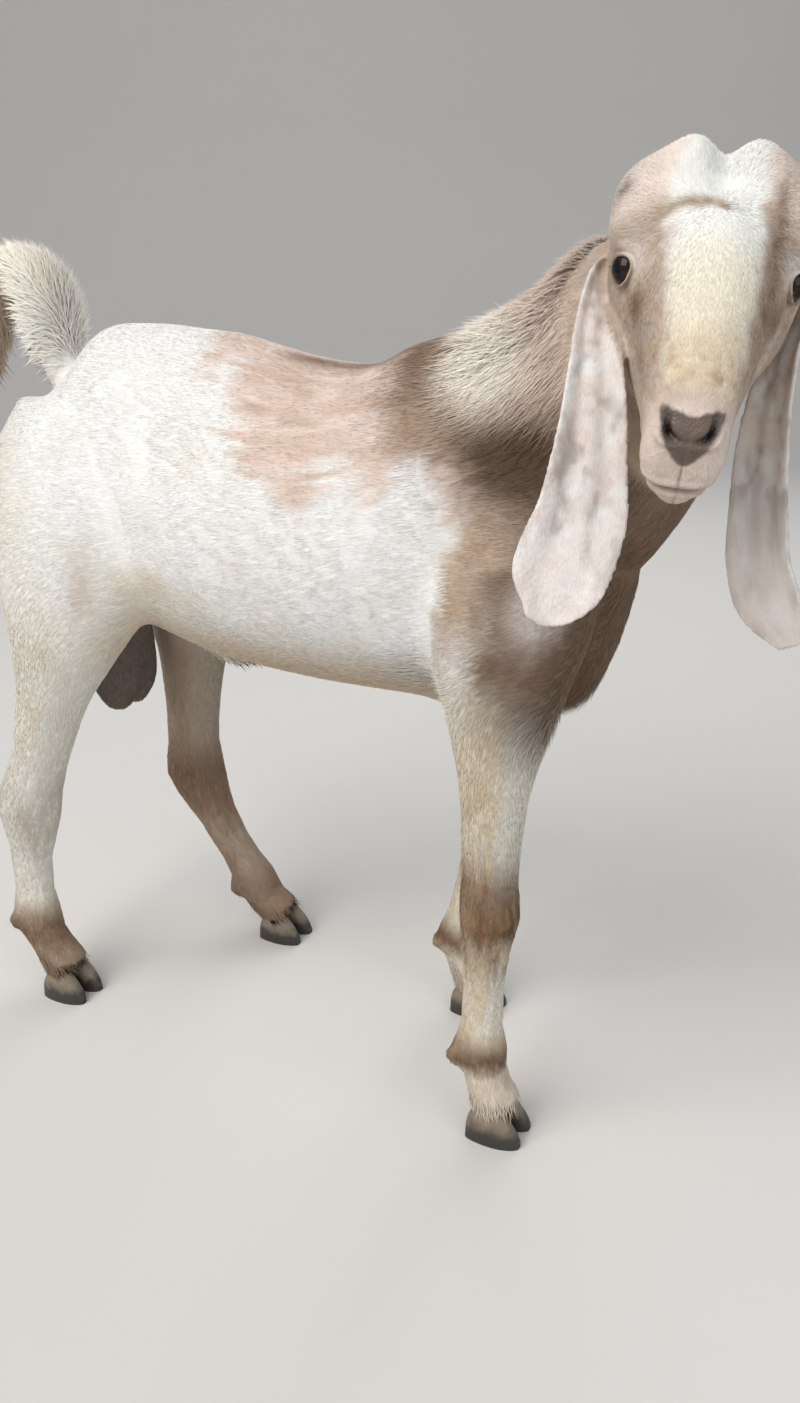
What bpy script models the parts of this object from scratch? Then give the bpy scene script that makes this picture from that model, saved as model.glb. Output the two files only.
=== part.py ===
"""A young polled billy goat with long hanging ears, walking slowly and looking to its right.

Metres, +Z up. The goat walks towards +X and its left side is +Y. The trunk, neck and legs are
lofted, melted into one body, and parted again by thin cuts; the head, ears, tail and hooves
are each modelled on their own and let into that body with a fine gap.
"""

import math

import bmesh
import bpy
import numpy as np
from mathutils import Matrix, Vector

# Driving dimensions of the animal
EYE_RADIUS = 0.0115
GAP = 0.0004
CUT = 0.0004

# The origin lies under the middle of the finished goat's box, so every node is moved by this
BOX_CENTRE = (-0.0040, -0.0100)

# How finely the body is melted together and then thinned
MELT_VOXEL = 0.0055
FLESH_TRIANGLES = 4000
HAIR_SHARE = 0.65

# Place and turn of the head: midway between the eyes, and the way that the face points
HEAD_CENTRE = Vector((0.2710, -0.0410, 0.6195))
HEAD_YAW = math.radians(-76.3)
HEAD_PITCH = math.radians(-27)
HEAD_ROLL = math.radians(-6)


def clear_scene():
    """Empties the scene of every object."""
    for obj in list(bpy.data.objects):
        bpy.data.objects.remove(obj)


def collection(name):
    """A new collection in the scene."""
    made = bpy.data.collections.new(name)
    bpy.context.scene.collection.children.link(made)
    return made


def adopt(home):
    """Takes the primitive that was just added into the collection home."""
    obj = bpy.context.active_object
    for other in list(obj.users_collection):
        other.objects.unlink(obj)
    home.objects.link(obj)
    return obj


def material(name, colour, roughness):
    """A plain Principled material."""
    made = bpy.data.materials.new(name)
    made.use_nodes = True
    shader = made.node_tree.nodes["Principled BSDF"]
    shader.inputs["Base Color"].default_value = (*colour, 1.0)
    shader.inputs["Roughness"].default_value = roughness
    shader.inputs["Metallic"].default_value = 0.0
    return made


def through(stations, count):
    """Catmull-Rom curve through the rows of stations, read at count even steps of row number."""
    rows = np.asarray(stations, float)
    padded = np.vstack([2 * rows[0] - rows[1], rows, 2 * rows[-1] - rows[-2]])
    place = np.linspace(0, len(rows) - 1, count)
    row = np.minimum(place.astype(int), len(rows) - 2)
    t = (place - row)[:, None]
    before, start, end, after = (padded[row + k] for k in range(4))
    return 0.5 * (
        2 * start
        + (end - before) * t
        + (2 * before - 5 * start + 4 * end - after) * t**2
        + (3 * start - before - 3 * end + after) * t**3
    )


def unit(vectors):
    """Each row at length one."""
    return vectors / np.maximum(np.linalg.norm(vectors, axis=-1, keepdims=True), 1e-9)


def sections(centres, halves, lateral, sides, roundness=(1.0, 1.0)):
    """Rings of points round a path of centres.

    halves holds, for each ring, the half width to the side and the reach towards the upper or
    front face and towards the lower or back face. The side of a ring is lateral, made square to
    the path. roundness above 1 pinches the upper or the lower half, and below 1 fills it out.
    """
    along = unit(np.gradient(centres, axis=0))
    side = np.broadcast_to(np.asarray(lateral, float), centres.shape)
    side = unit(side - along * (side * along).sum(1, keepdims=True))
    upper = np.cross(along, side)
    angle = np.linspace(0, 2 * math.pi, sides, endpoint=False)
    sine, cosine = np.sin(angle), np.cos(angle)
    power = np.where(cosine > 0, roundness[0], roundness[1])
    across = np.sign(sine) * np.abs(sine) ** power
    reach = np.where(cosine > 0, halves[:, 1:2], halves[:, 2:3]) * cosine
    return (
        centres[:, None]
        + side[:, None] * (halves[:, 0:1] * across)[..., None]
        + upper[:, None] * reach[..., None]
    )


def tube_mesh(name, rings):
    """A closed mesh over rings of equal size, with a fan over each end."""
    count, sides = rings.shape[:2]
    mesh = bpy.data.meshes.new(name)
    work = bmesh.new()
    verts = [[work.verts.new(p) for p in ring] for ring in rings.tolist()]
    for lower, upper in zip(verts, verts[1:]):
        for k in range(sides):
            follow = (k + 1) % sides
            work.faces.new((lower[k], upper[k], upper[follow], lower[follow]))
    for ring, centre, turn in ((verts[0], rings[0], 1), (verts[-1], rings[-1], -1)):
        pole = work.verts.new(centre.mean(0).tolist())
        for k in range(sides):
            work.faces.new((ring[k], ring[(k + 1) % sides], pole)[::turn])
    bmesh.ops.recalc_face_normals(work, faces=work.faces)
    work.to_mesh(mesh)
    work.free()
    return mesh


def put(name, mesh, home, finish=None):
    """An object for the mesh, in the collection home."""
    obj = bpy.data.objects.new(name, mesh)
    home.objects.link(obj)
    if finish:
        mesh.materials.clear()
        mesh.materials.append(finish)
    return obj


def as_cutter(obj):
    """Hides an object that only cuts or guides."""
    obj.hide_render = True
    obj.display_type = "WIRE"
    return obj


def applied(obj):
    """Replaces the object's mesh by its evaluated one and drops its modifiers."""
    bpy.context.view_layer.update()
    graph = bpy.context.evaluated_depsgraph_get()
    mesh = bpy.data.meshes.new_from_object(obj.evaluated_get(graph))
    obj.modifiers.clear()
    obj.data = mesh
    return obj


def boolean(obj, others, operation, solver="EXACT"):
    """Joins or cuts obj by a list of closed mesh objects, which are then removed."""
    group = bpy.data.collections.new("operands")
    bpy.context.scene.collection.children.link(group)
    for other in others:
        group.objects.link(as_cutter(other))
    step = obj.modifiers.new("join", "BOOLEAN")
    step.operation = operation
    step.solver = solver
    step.operand_type = "COLLECTION"
    step.collection = group
    applied(obj)
    for other in others:
        bpy.data.objects.remove(other)
    bpy.data.collections.remove(group)
    return obj


def grown(obj, distance, home):
    """A copy of the object with its skin moved outwards, to cut room for it."""
    copy = put(obj.name + "_room", obj.data.copy(), home)
    copy.matrix_world = obj.matrix_world
    work = bmesh.new()
    work.from_mesh(copy.data)
    work.normal_update()
    for vert in work.verts:
        vert.co += vert.normal * distance
    work.to_mesh(copy.data)
    work.free()
    return as_cutter(copy)


def shells(mesh):
    """The separate closed surfaces of a mesh, as lists of face indices, largest volume first."""
    work = bmesh.new()
    work.from_mesh(mesh)
    work.faces.ensure_lookup_table()
    seen = set()
    found = []
    for first in work.faces:
        if first.index in seen:
            continue
        seen.add(first.index)
        front, members = [first], []
        while front:
            face = front.pop()
            members.append(face.index)
            for edge in face.edges:
                for near in edge.link_faces:
                    if near.index not in seen:
                        seen.add(near.index)
                        front.append(near)
        volume = 0.0
        middle = Vector()
        for index in members:
            corners = [v.co for v in work.faces[index].verts]
            for k in range(1, len(corners) - 1):
                volume += corners[0].dot(corners[k].cross(corners[k + 1])) / 6
            middle += work.faces[index].calc_center_median()
        found.append((volume, middle / len(members), members))
    work.free()
    return sorted(found, key=lambda shell: -shell[0])


def only_faces(mesh, keep):
    """A copy of the mesh with only these faces."""
    copy = mesh.copy()
    work = bmesh.new()
    work.from_mesh(copy)
    work.faces.ensure_lookup_table()
    keep = set(keep)
    drop = [face for face in work.faces if face.index not in keep]
    bmesh.ops.delete(work, geom=drop, context="FACES")
    work.to_mesh(copy)
    work.free()
    return copy


def largest(obj):
    """Keeps the largest closed surface of the object."""
    obj.data = only_faces(obj.data, shells(obj.data)[0][2])
    return obj


# The trunk, lofted from the buttocks to the breast. Each row: place along the body, height of
# the widest level, half width, reach up to the back and down to the belly.
TRUNK = [
    (-0.284, 0.500, 0.020, 0.028, 0.028),
    (-0.268, 0.494, 0.044, 0.074, 0.062),
    (-0.242, 0.485, 0.062, 0.105, 0.092),
    (-0.215, 0.480, 0.071, 0.117, 0.107),
    (-0.164, 0.478, 0.080, 0.124, 0.117),
    (-0.116, 0.466, 0.088, 0.134, 0.118),
    (-0.070, 0.456, 0.094, 0.134, 0.117),
    (0.000, 0.450, 0.097, 0.128, 0.114),
    (0.050, 0.449, 0.094, 0.131, 0.113),
    (0.090, 0.451, 0.087, 0.147, 0.115),
    (0.130, 0.450, 0.079, 0.154, 0.121),
    (0.175, 0.444, 0.071, 0.126, 0.114),
    (0.206, 0.437, 0.059, 0.074, 0.101),
    (0.224, 0.433, 0.042, 0.044, 0.086),
    (0.234, 0.431, 0.018, 0.020, 0.044),
]


def trunk(home):
    """Rump, barrel and chest: deep behind the elbows, with a ridged back and a round belly."""
    rows = through(TRUNK, 64)
    centres = np.column_stack([rows[:, 0], np.zeros(len(rows)), rows[:, 1]])
    rings = sections(centres, rows[:, 2:5], (0, 1, 0), 40, roundness=(1.12, 0.92))
    return put("trunk", tube_mesh("trunk", rings), home)


# The neck, from between the shoulders to the back of the head. Each row: centre, half width,
# reach to the crest and to the throat.
NECK = [
    (0.110, 0.000, 0.490, 0.050, 0.100, 0.080),
    (0.156, 0.000, 0.507, 0.062, 0.108, 0.096),
    (0.190, 0.000, 0.537, 0.060, 0.098, 0.091),
    (0.217, 0.000, 0.572, 0.052, 0.084, 0.077),
    (0.235, 0.001, 0.606, 0.046, 0.070, 0.060),
    (0.248, 0.001, 0.634, 0.042, 0.056, 0.046),
    (0.254, 0.000, 0.654, 0.036, 0.042, 0.038),
]


def neck(home):
    """A thick young buck's neck, which rises steeply and turns a little to the right."""
    rows = through(NECK, 40)
    rings = sections(rows[:, :3], rows[:, 3:6], (0, 1, 0), 32, roundness=(1.15, 0.95))
    return put("neck_form", tube_mesh("neck_form", rings), home)


# Joints of each leg as place along the body, side and height, from the top to the coronet
FORELEG_RIGHT = [
    (0.150, -0.044, 0.500),
    (0.168, -0.060, 0.430),
    (0.166, -0.066, 0.355),
    (0.164, -0.070, 0.200),
    (0.164, -0.070, 0.078),
    (0.176, -0.070, 0.026),
]
FORELEG_LEFT = [
    (0.135, 0.044, 0.500),
    (0.146, 0.058, 0.430),
    (0.134, 0.066, 0.355),
    (0.110, 0.068, 0.203),
    (0.086, 0.068, 0.076),
    (0.100, 0.068, 0.026),
]
HINDLEG_RIGHT = [
    (-0.190, -0.038, 0.530),
    (-0.206, -0.054, 0.450),
    (-0.224, -0.068, 0.352),
    (-0.277, -0.078, 0.186),
    (-0.284, -0.082, 0.076),
    (-0.252, -0.085, 0.026),
]
HINDLEG_LEFT = [
    (-0.185, 0.038, 0.530),
    (-0.196, 0.054, 0.450),
    (-0.194, 0.068, 0.352),
    (-0.210, 0.080, 0.172),
    (-0.152, 0.086, 0.056),
    (-0.124, 0.088, 0.025),
]

# Thickness down a leg. Each row: joint number with the share of the way to the next one, half
# width, reach to the front and to the back.
FORELEG_PROFILE = [
    (0.0, 0.024, 0.054, 0.060),
    (0.6, 0.034, 0.060, 0.064),
    (1.0, 0.037, 0.060, 0.060),
    (1.6, 0.038, 0.050, 0.048),
    (2.0, 0.031, 0.040, 0.040),
    (2.3, 0.0250, 0.0300, 0.0295),
    (2.5, 0.0215, 0.0245, 0.0245),
    (2.8, 0.0195, 0.0215, 0.0215),
    (2.93, 0.0205, 0.0230, 0.0210),
    (3.05, 0.0215, 0.0245, 0.0210),
    (3.2, 0.0185, 0.0200, 0.0200),
    (3.5, 0.0150, 0.0165, 0.0168),
    (3.8, 0.0155, 0.0165, 0.0180),
    (4.0, 0.0190, 0.0190, 0.0220),
    (4.3, 0.0170, 0.0170, 0.0190),
    (4.7, 0.0185, 0.0190, 0.0195),
    (5.0, 0.0205, 0.0220, 0.0215),
]
HINDLEG_PROFILE = [
    (0.0, 0.032, 0.062, 0.078),
    (0.5, 0.042, 0.080, 0.090),
    (1.0, 0.046, 0.092, 0.090),
    (1.5, 0.043, 0.080, 0.082),
    (1.8, 0.040, 0.064, 0.068),
    (2.0, 0.0375, 0.051, 0.058),
    (2.3, 0.0300, 0.032, 0.038),
    (2.6, 0.0250, 0.0245, 0.0290),
    (2.85, 0.0230, 0.0235, 0.0310),
    (2.95, 0.0228, 0.0255, 0.0390),
    (3.05, 0.0222, 0.0260, 0.0400),
    (3.2, 0.0200, 0.0235, 0.0290),
    (3.4, 0.0170, 0.0205, 0.0220),
    (3.7, 0.0160, 0.0190, 0.0200),
    (4.0, 0.0198, 0.0215, 0.0250),
    (4.35, 0.0178, 0.0180, 0.0205),
    (4.7, 0.0188, 0.0195, 0.0205),
    (5.0, 0.0205, 0.0225, 0.0220),
]


def leg(name, joints, profile, home):
    """A leg lofted down through its joints, with the thickness that the profile gives."""
    rows = np.asarray(profile, float)
    steps = 12 * (len(joints) - 1) + 1
    path = through(joints, steps)
    number = np.linspace(0, len(joints) - 1, steps)
    smooth = through(rows, 8 * len(rows))
    halves = np.column_stack(
        [np.interp(number, smooth[:, 0], smooth[:, k]) for k in (1, 2, 3)]
    )
    rings = sections(path, halves, (0, 1, 0), 24)
    return put(name, tube_mesh(name, rings), home)


def dewclaws(joints, home):
    """The two small horny knobs behind the fetlock."""
    fetlock = Vector(joints[4])
    made = []
    for side in (-1, 1):
        bpy.ops.mesh.primitive_uv_sphere_add(segments=12, ring_count=8, radius=1)
        knob = adopt(home)
        knob.scale = (0.0080, 0.0065, 0.0100)
        knob.rotation_euler = (0, math.radians(-25), 0)
        knob.location = fetlock + Vector((-0.021, side * 0.0125, -0.010))
        made.append(knob)
    return made


def thinned(obj, share):
    """Merges faces until only this share of the object's triangles is left."""
    thin = obj.modifiers.new("thin", "DECIMATE")
    thin.ratio = share
    return applied(obj)


def melted(objects, home):
    """Melts closed forms into one body, smooths it and thins its faces."""
    body = put("flesh", bpy.data.meshes.new("flesh"), home)
    work = bmesh.new()
    bpy.context.view_layer.update()
    for obj in objects:
        copy = obj.data.copy()
        copy.transform(obj.matrix_world)
        work.from_mesh(copy)
        bpy.data.objects.remove(obj)
    work.to_mesh(body.data)
    work.free()
    melt = body.modifiers.new("melt", "REMESH")
    melt.mode = "VOXEL"
    melt.voxel_size = MELT_VOXEL
    applied(body)
    relax = body.modifiers.new("relax", "SMOOTH")
    relax.factor = 0.5
    relax.iterations = 7
    applied(body)
    faces = sum(len(p.vertices) - 2 for p in body.data.polygons)
    return thinned(body, FLESH_TRIANGLES / faces)


# The head in its own frame: forward along the face, left, and up from the brow. Each row:
# place forward of the eyes, level of the widest part, half width, reach to the brow and to the
# jaw from that level.
HEAD = [
    (-0.0740, 0.004, 0.014, 0.016, 0.020),
    (-0.0690, 0.004, 0.032, 0.036, 0.040),
    (-0.0540, 0.008, 0.0480, 0.052, 0.062),
    (-0.0280, 0.014, 0.0545, 0.052, 0.078),
    (0.0000, 0.016, 0.0535, 0.044, 0.084),
    (0.0220, 0.010, 0.0450, 0.045, 0.076),
    (0.0440, 0.002, 0.0360, 0.044, 0.065),
    (0.0640, -0.007, 0.0290, 0.040, 0.056),
    (0.0810, -0.015, 0.0245, 0.034, 0.050),
    (0.0940, -0.022, 0.0228, 0.026, 0.043),
    (0.1030, -0.027, 0.0205, 0.018, 0.035),
    (0.1085, -0.031, 0.0145, 0.011, 0.023),
    (0.1100, -0.032, 0.0060, 0.005, 0.009),
]
BROW_FILL = 0.86
JAW_PINCH = 1.10

# Swellings and hollows of the face, on both sides. Each row: centre (forward, to the side, up),
# reach along those three, and height.
FACE_FORMS = [
    ((-0.050, 0.015, 0.056), (0.026, 0.014, 0.026), 0.0110),
    ((-0.034, 0.042, 0.048), (0.032, 0.022, 0.026), 0.0130),
    ((-0.016, 0.000, 0.066), (0.009, 0.017, 0.012), -0.0050),
    ((0.030, 0.000, 0.052), (0.028, 0.020, 0.020), 0.0045),
    ((0.000, 0.050, 0.036), (0.016, 0.013, 0.009), 0.0050),
    ((0.018, 0.049, 0.014), (0.009, 0.012, 0.010), -0.0030),
    ((-0.014, 0.048, -0.034), (0.024, 0.016, 0.024), 0.0045),
    ((0.036, 0.034, -0.006), (0.018, 0.012, 0.012), -0.0035),
    ((0.097, 0.014, -0.036), (0.010, 0.011, 0.010), 0.0030),
    ((0.090, 0.000, -0.066), (0.012, 0.013, 0.012), 0.0035),
    ((0.106, 0.011, -0.014), (0.007, 0.008, 0.009), 0.0028),
]
MOUTH_LEVEL = -0.0490
MOUTH_BACK = 0.066
MOUTH_DEPTH = 0.0032
MOUTH_WIDTH = 0.0030


def head_surface(rings, sides):
    """Points of the head's skin in its own frame, as rings from the poll to the lips.

    A loft through the rows of HEAD, swollen and hollowed by FACE_FORMS, each a bell curve of
    the distance from its centre, with the line of the mouth pressed in round the muzzle.
    """
    rows = through(HEAD, rings)
    centres = np.column_stack([rows[:, 0], np.zeros(len(rows)), rows[:, 1]])
    # The path runs straight forward, so its rings stand square to the face
    angle = np.linspace(0, 2 * math.pi, sides, endpoint=False)
    sine, cosine = np.sin(angle), np.cos(angle)
    power = np.where(cosine > 0, BROW_FILL, JAW_PINCH)
    across = np.sign(sine) * np.abs(sine) ** power
    reach = np.where(cosine > 0, rows[:, 3:4], rows[:, 4:5]) * cosine
    points = np.zeros((rings, sides, 3))
    points[..., 0] = centres[:, 0:1]
    points[..., 1] = rows[:, 2:3] * across
    points[..., 2] = centres[:, 2:3] + reach
    outward = unit(np.cross(np.gradient(points, axis=1), np.gradient(points, axis=0)))
    outward *= np.sign((outward * (points - centres[:, None])).sum(-1, keepdims=True))
    push = np.zeros(points.shape[:2])
    for centre, spread, height in FACE_FORMS:
        for side in (-1, 1) if centre[1] else (1,):
            place = np.array((centre[0], side * centre[1], centre[2]))
            far = (((points - place) / spread) ** 2).sum(-1)
            push += height * np.exp(-far)
    level = MOUTH_LEVEL + 0.35 * np.clip(MOUTH_BACK + 0.02 - points[..., 0], 0, None)
    inside = 1 / (1 + np.exp(-(points[..., 0] - MOUTH_BACK) / 0.003))
    push -= MOUTH_DEPTH * inside * np.exp(-(((points[..., 2] - level) / MOUTH_WIDTH) ** 2))
    return points + outward * push[..., None]


def head_matrix():
    """Turns the head's own frame into its place on the goat."""
    yaw = Matrix.Rotation(HEAD_YAW, 4, "Z")
    pitch = Matrix.Rotation(-HEAD_PITCH, 4, "Y")
    roll = Matrix.Rotation(HEAD_ROLL, 4, "X")
    return Matrix.Translation(HEAD_CENTRE) @ yaw @ pitch @ roll


EYE_PLACE = Vector((0.008, 0.0415, 0.0220))
EYE_LOOK = Vector((0.0055, 0.0115, 0.0030))
LID_THICKNESS = 0.0022
EYE_OPENING = (0.0118, 0.0074)
EYE_SLANT = math.radians(-18)
NOSTRIL_PLACE = Vector((0.1055, 0.0128, -0.0165))
NOSTRIL_SIZE = (0.0080, 0.0028, 0.0055)
NOSTRIL_TURN = (0, math.radians(35), math.radians(24))


def ball(name, centre, radius, home, segments=24, rings=16):
    """A closed sphere of the given radius."""
    bpy.ops.mesh.primitive_uv_sphere_add(
        segments=segments, ring_count=rings, radius=radius, location=centre
    )
    obj = adopt(home)
    obj.name = name
    return obj


def mirrored(place, side):
    """The place on the left for side 1, and its like on the right for side -1."""
    return Vector((place.x, side * place.y, place.z))


def head(home, finish):
    """The head: skull, muzzle, lids over the eyes, nostrils and the line of the mouth."""
    head_obj = put("head", tube_mesh("head", head_surface(38, 30)), home, finish)
    lids = []
    cutters = []
    for side in (-1, 1):
        centre = mirrored(EYE_PLACE, side)
        lids.append(ball("lid", centre, EYE_RADIUS + LID_THICKNESS, home, 16, 10))
        cutters.append(ball("socket", centre, EYE_RADIUS + GAP, home, 16, 10))
    boolean(head_obj, lids, "UNION")
    boolean(head_obj, cutters, "DIFFERENCE")
    openings = []
    for side in (-1, 1):
        centre = mirrored(EYE_PLACE, side)
        slit = ball("slit", centre + mirrored(EYE_LOOK, side), 1, home, 14, 8)
        slit.scale = (EYE_OPENING[0], 0.0105, EYE_OPENING[1])
        slit.rotation_euler = (0, -EYE_SLANT, -side * math.radians(22))
        openings.append(slit)
        nostril = ball("nostril", mirrored(NOSTRIL_PLACE, side), 1, home, 10, 6)
        nostril.scale = NOSTRIL_SIZE
        nostril.rotation_euler = NOSTRIL_TURN[0], NOSTRIL_TURN[1], side * NOSTRIL_TURN[2]
        openings.append(nostril)
    bpy.context.view_layer.update()
    boolean(head_obj, openings, "DIFFERENCE")
    largest(head_obj)
    head_obj.data.transform(head_matrix())
    return head_obj


def eye(name, side, home, finish):
    """An eyeball."""
    obj = ball(name, (0, 0, 0), EYE_RADIUS, home, 14, 8)
    obj.data.transform(head_matrix() @ Matrix.Translation(mirrored(EYE_PLACE, side)))
    obj.data.materials.append(finish)
    return obj


# Each ear's middle line in the goat's frame, from its root in the head to its tip. Each row:
# place, half width, how far its edges fold forward, and the way its inside looks.
EAR_RIGHT = [
    (0.2145, -0.036, 0.638, 0.0115, 1.35),
    (0.2150, -0.054, 0.622, 0.0135, 1.15),
    (0.2180, -0.066, 0.604, 0.0155, 0.95),
    (0.2220, -0.075, 0.583, 0.0180, 0.75),
    (0.2245, -0.082, 0.558, 0.0205, 0.55),
    (0.2250, -0.088, 0.530, 0.0240, 0.45),
    (0.2240, -0.093, 0.503, 0.0280, 0.38),
    (0.2195, -0.100, 0.482, 0.0300, 0.32),
    (0.2145, -0.104, 0.463, 0.0300, 0.26),
    (0.2125, -0.105, 0.449, 0.0215, 0.20),
    (0.2150, -0.106, 0.436, 0.0060, 0.10),
]
EAR_LEFT = [
    (0.3210, 0.009, 0.632, 0.0115, 1.35),
    (0.3230, 0.003, 0.615, 0.0135, 1.15),
    (0.3180, -0.002, 0.597, 0.0155, 0.95),
    (0.3150, -0.005, 0.577, 0.0175, 0.75),
    (0.3130, -0.008, 0.551, 0.0195, 0.55),
    (0.3130, -0.010, 0.521, 0.0220, 0.45),
    (0.3145, -0.010, 0.494, 0.0250, 0.38),
    (0.3180, -0.010, 0.465, 0.0280, 0.30),
    (0.3280, -0.012, 0.438, 0.0270, 0.20),
    (0.3420, -0.012, 0.414, 0.0090, 0.10),
]
EAR_ROOT = Vector((-0.034, 0.040, 0.004))
EAR_ROOT_SIZE = (0.0090, 1.40)
EAR_THICKNESS = 0.0032


def ear(name, side, rows, facing, home, finish):
    """A long hanging ear: a gutter of thin skin that opens towards the face and narrows above."""
    root = head_matrix() @ mirrored(EAR_ROOT, side)
    rows = through([(*root, *EAR_ROOT_SIZE), *rows], 21)
    centres, halves, fold = rows[:, :3], rows[:, 3], rows[:, 4]
    along = unit(np.gradient(centres, axis=0))
    face = np.broadcast_to(np.array(facing), centres.shape)
    face = unit(face - along * (face * along).sum(1, keepdims=True))
    side = np.cross(along, face)
    share = np.linspace(-1, 1, 7)
    bend = fold[:, None] * share
    radius = halves / np.maximum(fold, 0.05)
    across = radius[:, None] * np.sin(bend)
    forward = radius[:, None] * (1 - np.cos(bend))
    middle = centres[:, None] + side[:, None] * across[..., None] + face[:, None] * forward[..., None]
    lean = -np.sin(bend)[..., None] * side[:, None] + np.cos(bend)[..., None] * face[:, None]
    edge = np.sqrt(np.clip(1 - share**2, 0.04, 1))[None, :, None] * EAR_THICKNESS / 2
    inner = middle + lean * edge
    outer = middle - lean * edge
    rings = np.concatenate([inner, outer[:, ::-1]], axis=1)
    obj = put(name, tube_mesh(name, rings), home, finish)
    return obj


EAR_FACING_RIGHT = (0.25, -0.96, 0.10)
EAR_FACING_LEFT = (-0.55, -0.83, 0.05)


# The tail's middle line, raised from the croup and curled forward over it. Each row: place,
# half width, reach to its upper and under side.
TAIL = [
    (-0.246, 0.000, 0.548, 0.020, 0.018, 0.018),
    (-0.260, 0.000, 0.576, 0.022, 0.017, 0.018),
    (-0.263, 0.000, 0.604, 0.023, 0.016, 0.018),
    (-0.272, 0.000, 0.626, 0.023, 0.014, 0.016),
    (-0.292, 0.000, 0.637, 0.022, 0.012, 0.013),
    (-0.314, 0.000, 0.632, 0.021, 0.013, 0.013),
    (-0.330, 0.000, 0.613, 0.020, 0.012, 0.012),
    (-0.338, 0.000, 0.588, 0.016, 0.010, 0.010),
    (-0.341, 0.000, 0.564, 0.006, 0.004, 0.004),
]


def tail(home, finish):
    """The short bushy tail, carried high."""
    rows = through(TAIL, 22)
    rings = sections(rows[:, :3], rows[:, 3:6], (0, 1, 0), 12)
    return put("tail", tube_mesh("tail", rings), home, finish)


# Long hair, as flat tapered locks: length, half width and half thickness of each kind
TAIL_LOCK = (0.032, 0.0105, 0.0020)
CREST_LOCK = (0.034, 0.0105, 0.0020)
SHEATH_LOCK = (0.018, 0.0050, 0.0015)
LOCK_SINK = 0.004
LOCK_STATIONS = (0.0, 0.35, 0.72)
LOCK_SPREAD = (0.80, 1.0, 0.72)


def lock(root, growth, lie, flat, size, home):
    """A flat tapered lock of hair: it leaves the skin along growth and bends over into lie.

    flat is the way that its thin side looks. It is a four-sided tube of three sections that
    closes in a point, with its root sunk under the skin.
    """
    length, half_width, half_thickness = size
    growth, lie = growth.normalized(), lie.normalized()
    base = root - growth * LOCK_SINK

    def place(share):
        return base + (growth * (share - share**2 / 2) + lie * share**2 / 2) * (length + LOCK_SINK)

    work = bmesh.new()
    rings = []
    for share, spread in zip(LOCK_STATIONS, LOCK_SPREAD):
        heading = (growth * (1 - share) + lie * share).normalized()
        across = heading.cross(flat).normalized()
        thin = across.cross(heading)
        corners = (across * half_width, thin * half_thickness, -across * half_width, -thin * half_thickness)
        rings.append([work.verts.new(place(share) + corner * spread) for corner in corners])
    for lower, upper in zip(rings, rings[1:]):
        for k in range(4):
            follow = (k + 1) % 4
            work.faces.new((lower[k], lower[follow], upper[follow], upper[k]))
    tip = work.verts.new(place(1.0))
    for k in range(4):
        work.faces.new((rings[-1][k], rings[-1][(k + 1) % 4], tip))
    work.faces.new(rings[0][::-1])
    bmesh.ops.recalc_face_normals(work, faces=work.faces)
    mesh = bpy.data.meshes.new("lock")
    work.to_mesh(mesh)
    work.free()
    return put("lock", mesh, home)


def varied(size, draw):
    """The size of one lock, a little longer or shorter and broader or narrower than its kind."""
    length, half_width, half_thickness = size
    return (length * draw.uniform(0.8, 1.2), half_width * draw.uniform(0.85, 1.15), half_thickness)


TAIL_LOCK_STEPS = 11
TAIL_LOCK_ANGLES = (-100, -50, 0, 50, 100)


def tail_locks(home):
    """Hair that leaves the tail on every side but the bare inner one, and lies along it."""
    draw = np.random.default_rng(3)
    path = through(TAIL, 200)
    along = unit(np.gradient(path[:, :3], axis=0))
    made = []
    for step in range(TAIL_LOCK_STEPS):
        for angle in TAIL_LOCK_ANGLES:
            share = 0.02 + 0.94 * (step + draw.uniform(0.2, 0.8)) / TAIL_LOCK_STEPS
            at = int(share * (len(path) - 1))
            heading = Vector(along[at])
            side = Vector((0, 1, 0))
            upper = heading.cross(side)
            turn = math.radians(angle + draw.uniform(-14, 14))
            outward = side * math.sin(turn) + upper * math.cos(turn)
            reach = path[at, 3] * abs(math.sin(turn)) + path[at, 4] * abs(math.cos(turn))
            root = Vector(path[at, :3]) + outward * reach * 0.80
            growth = outward * 0.34 + heading
            lie = heading - outward * 0.12 + Vector((0, 0, -0.10))
            made.append(lock(root, growth, lie, outward, varied(TAIL_LOCK, draw), home))
    return made


CREST_ROWS = (-0.024, -0.008, 0.008, 0.024)
CREST_STEPS = 7
CREST_RUN = ((0.128, 0.222), 0.75)


def crest_locks(flesh, home):
    """Soft hair that stands on the nape, from the withers to the poll."""
    draw = np.random.default_rng(5)
    (start, end), height = CREST_RUN
    made = []
    for row, across in enumerate(CREST_ROWS):
        for step in range(CREST_STEPS):
            share = (step + 0.5 * (row % 2) + draw.uniform(-0.2, 0.2)) / CREST_STEPS
            above = Vector((start + (end - start) * share, across + draw.uniform(-0.003, 0.003), height))
            hit, root, normal, _ = flesh.ray_cast(above, Vector((0, 0, -1)))
            if not hit:
                continue
            back = Vector((-0.75, 0.2 * np.sign(across), -0.45))
            growth = normal * 0.55 + back
            lie = normal * -0.06 + back + Vector((0, 0.3 * np.sign(across), 0))
            made.append(lock(root, growth, lie, normal, varied(CREST_LOCK, draw), home))
    return made


SHEATH_LOCKS = 7
SHEATH_TIP = Vector((-0.099, 0.0, 0.341))


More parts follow.
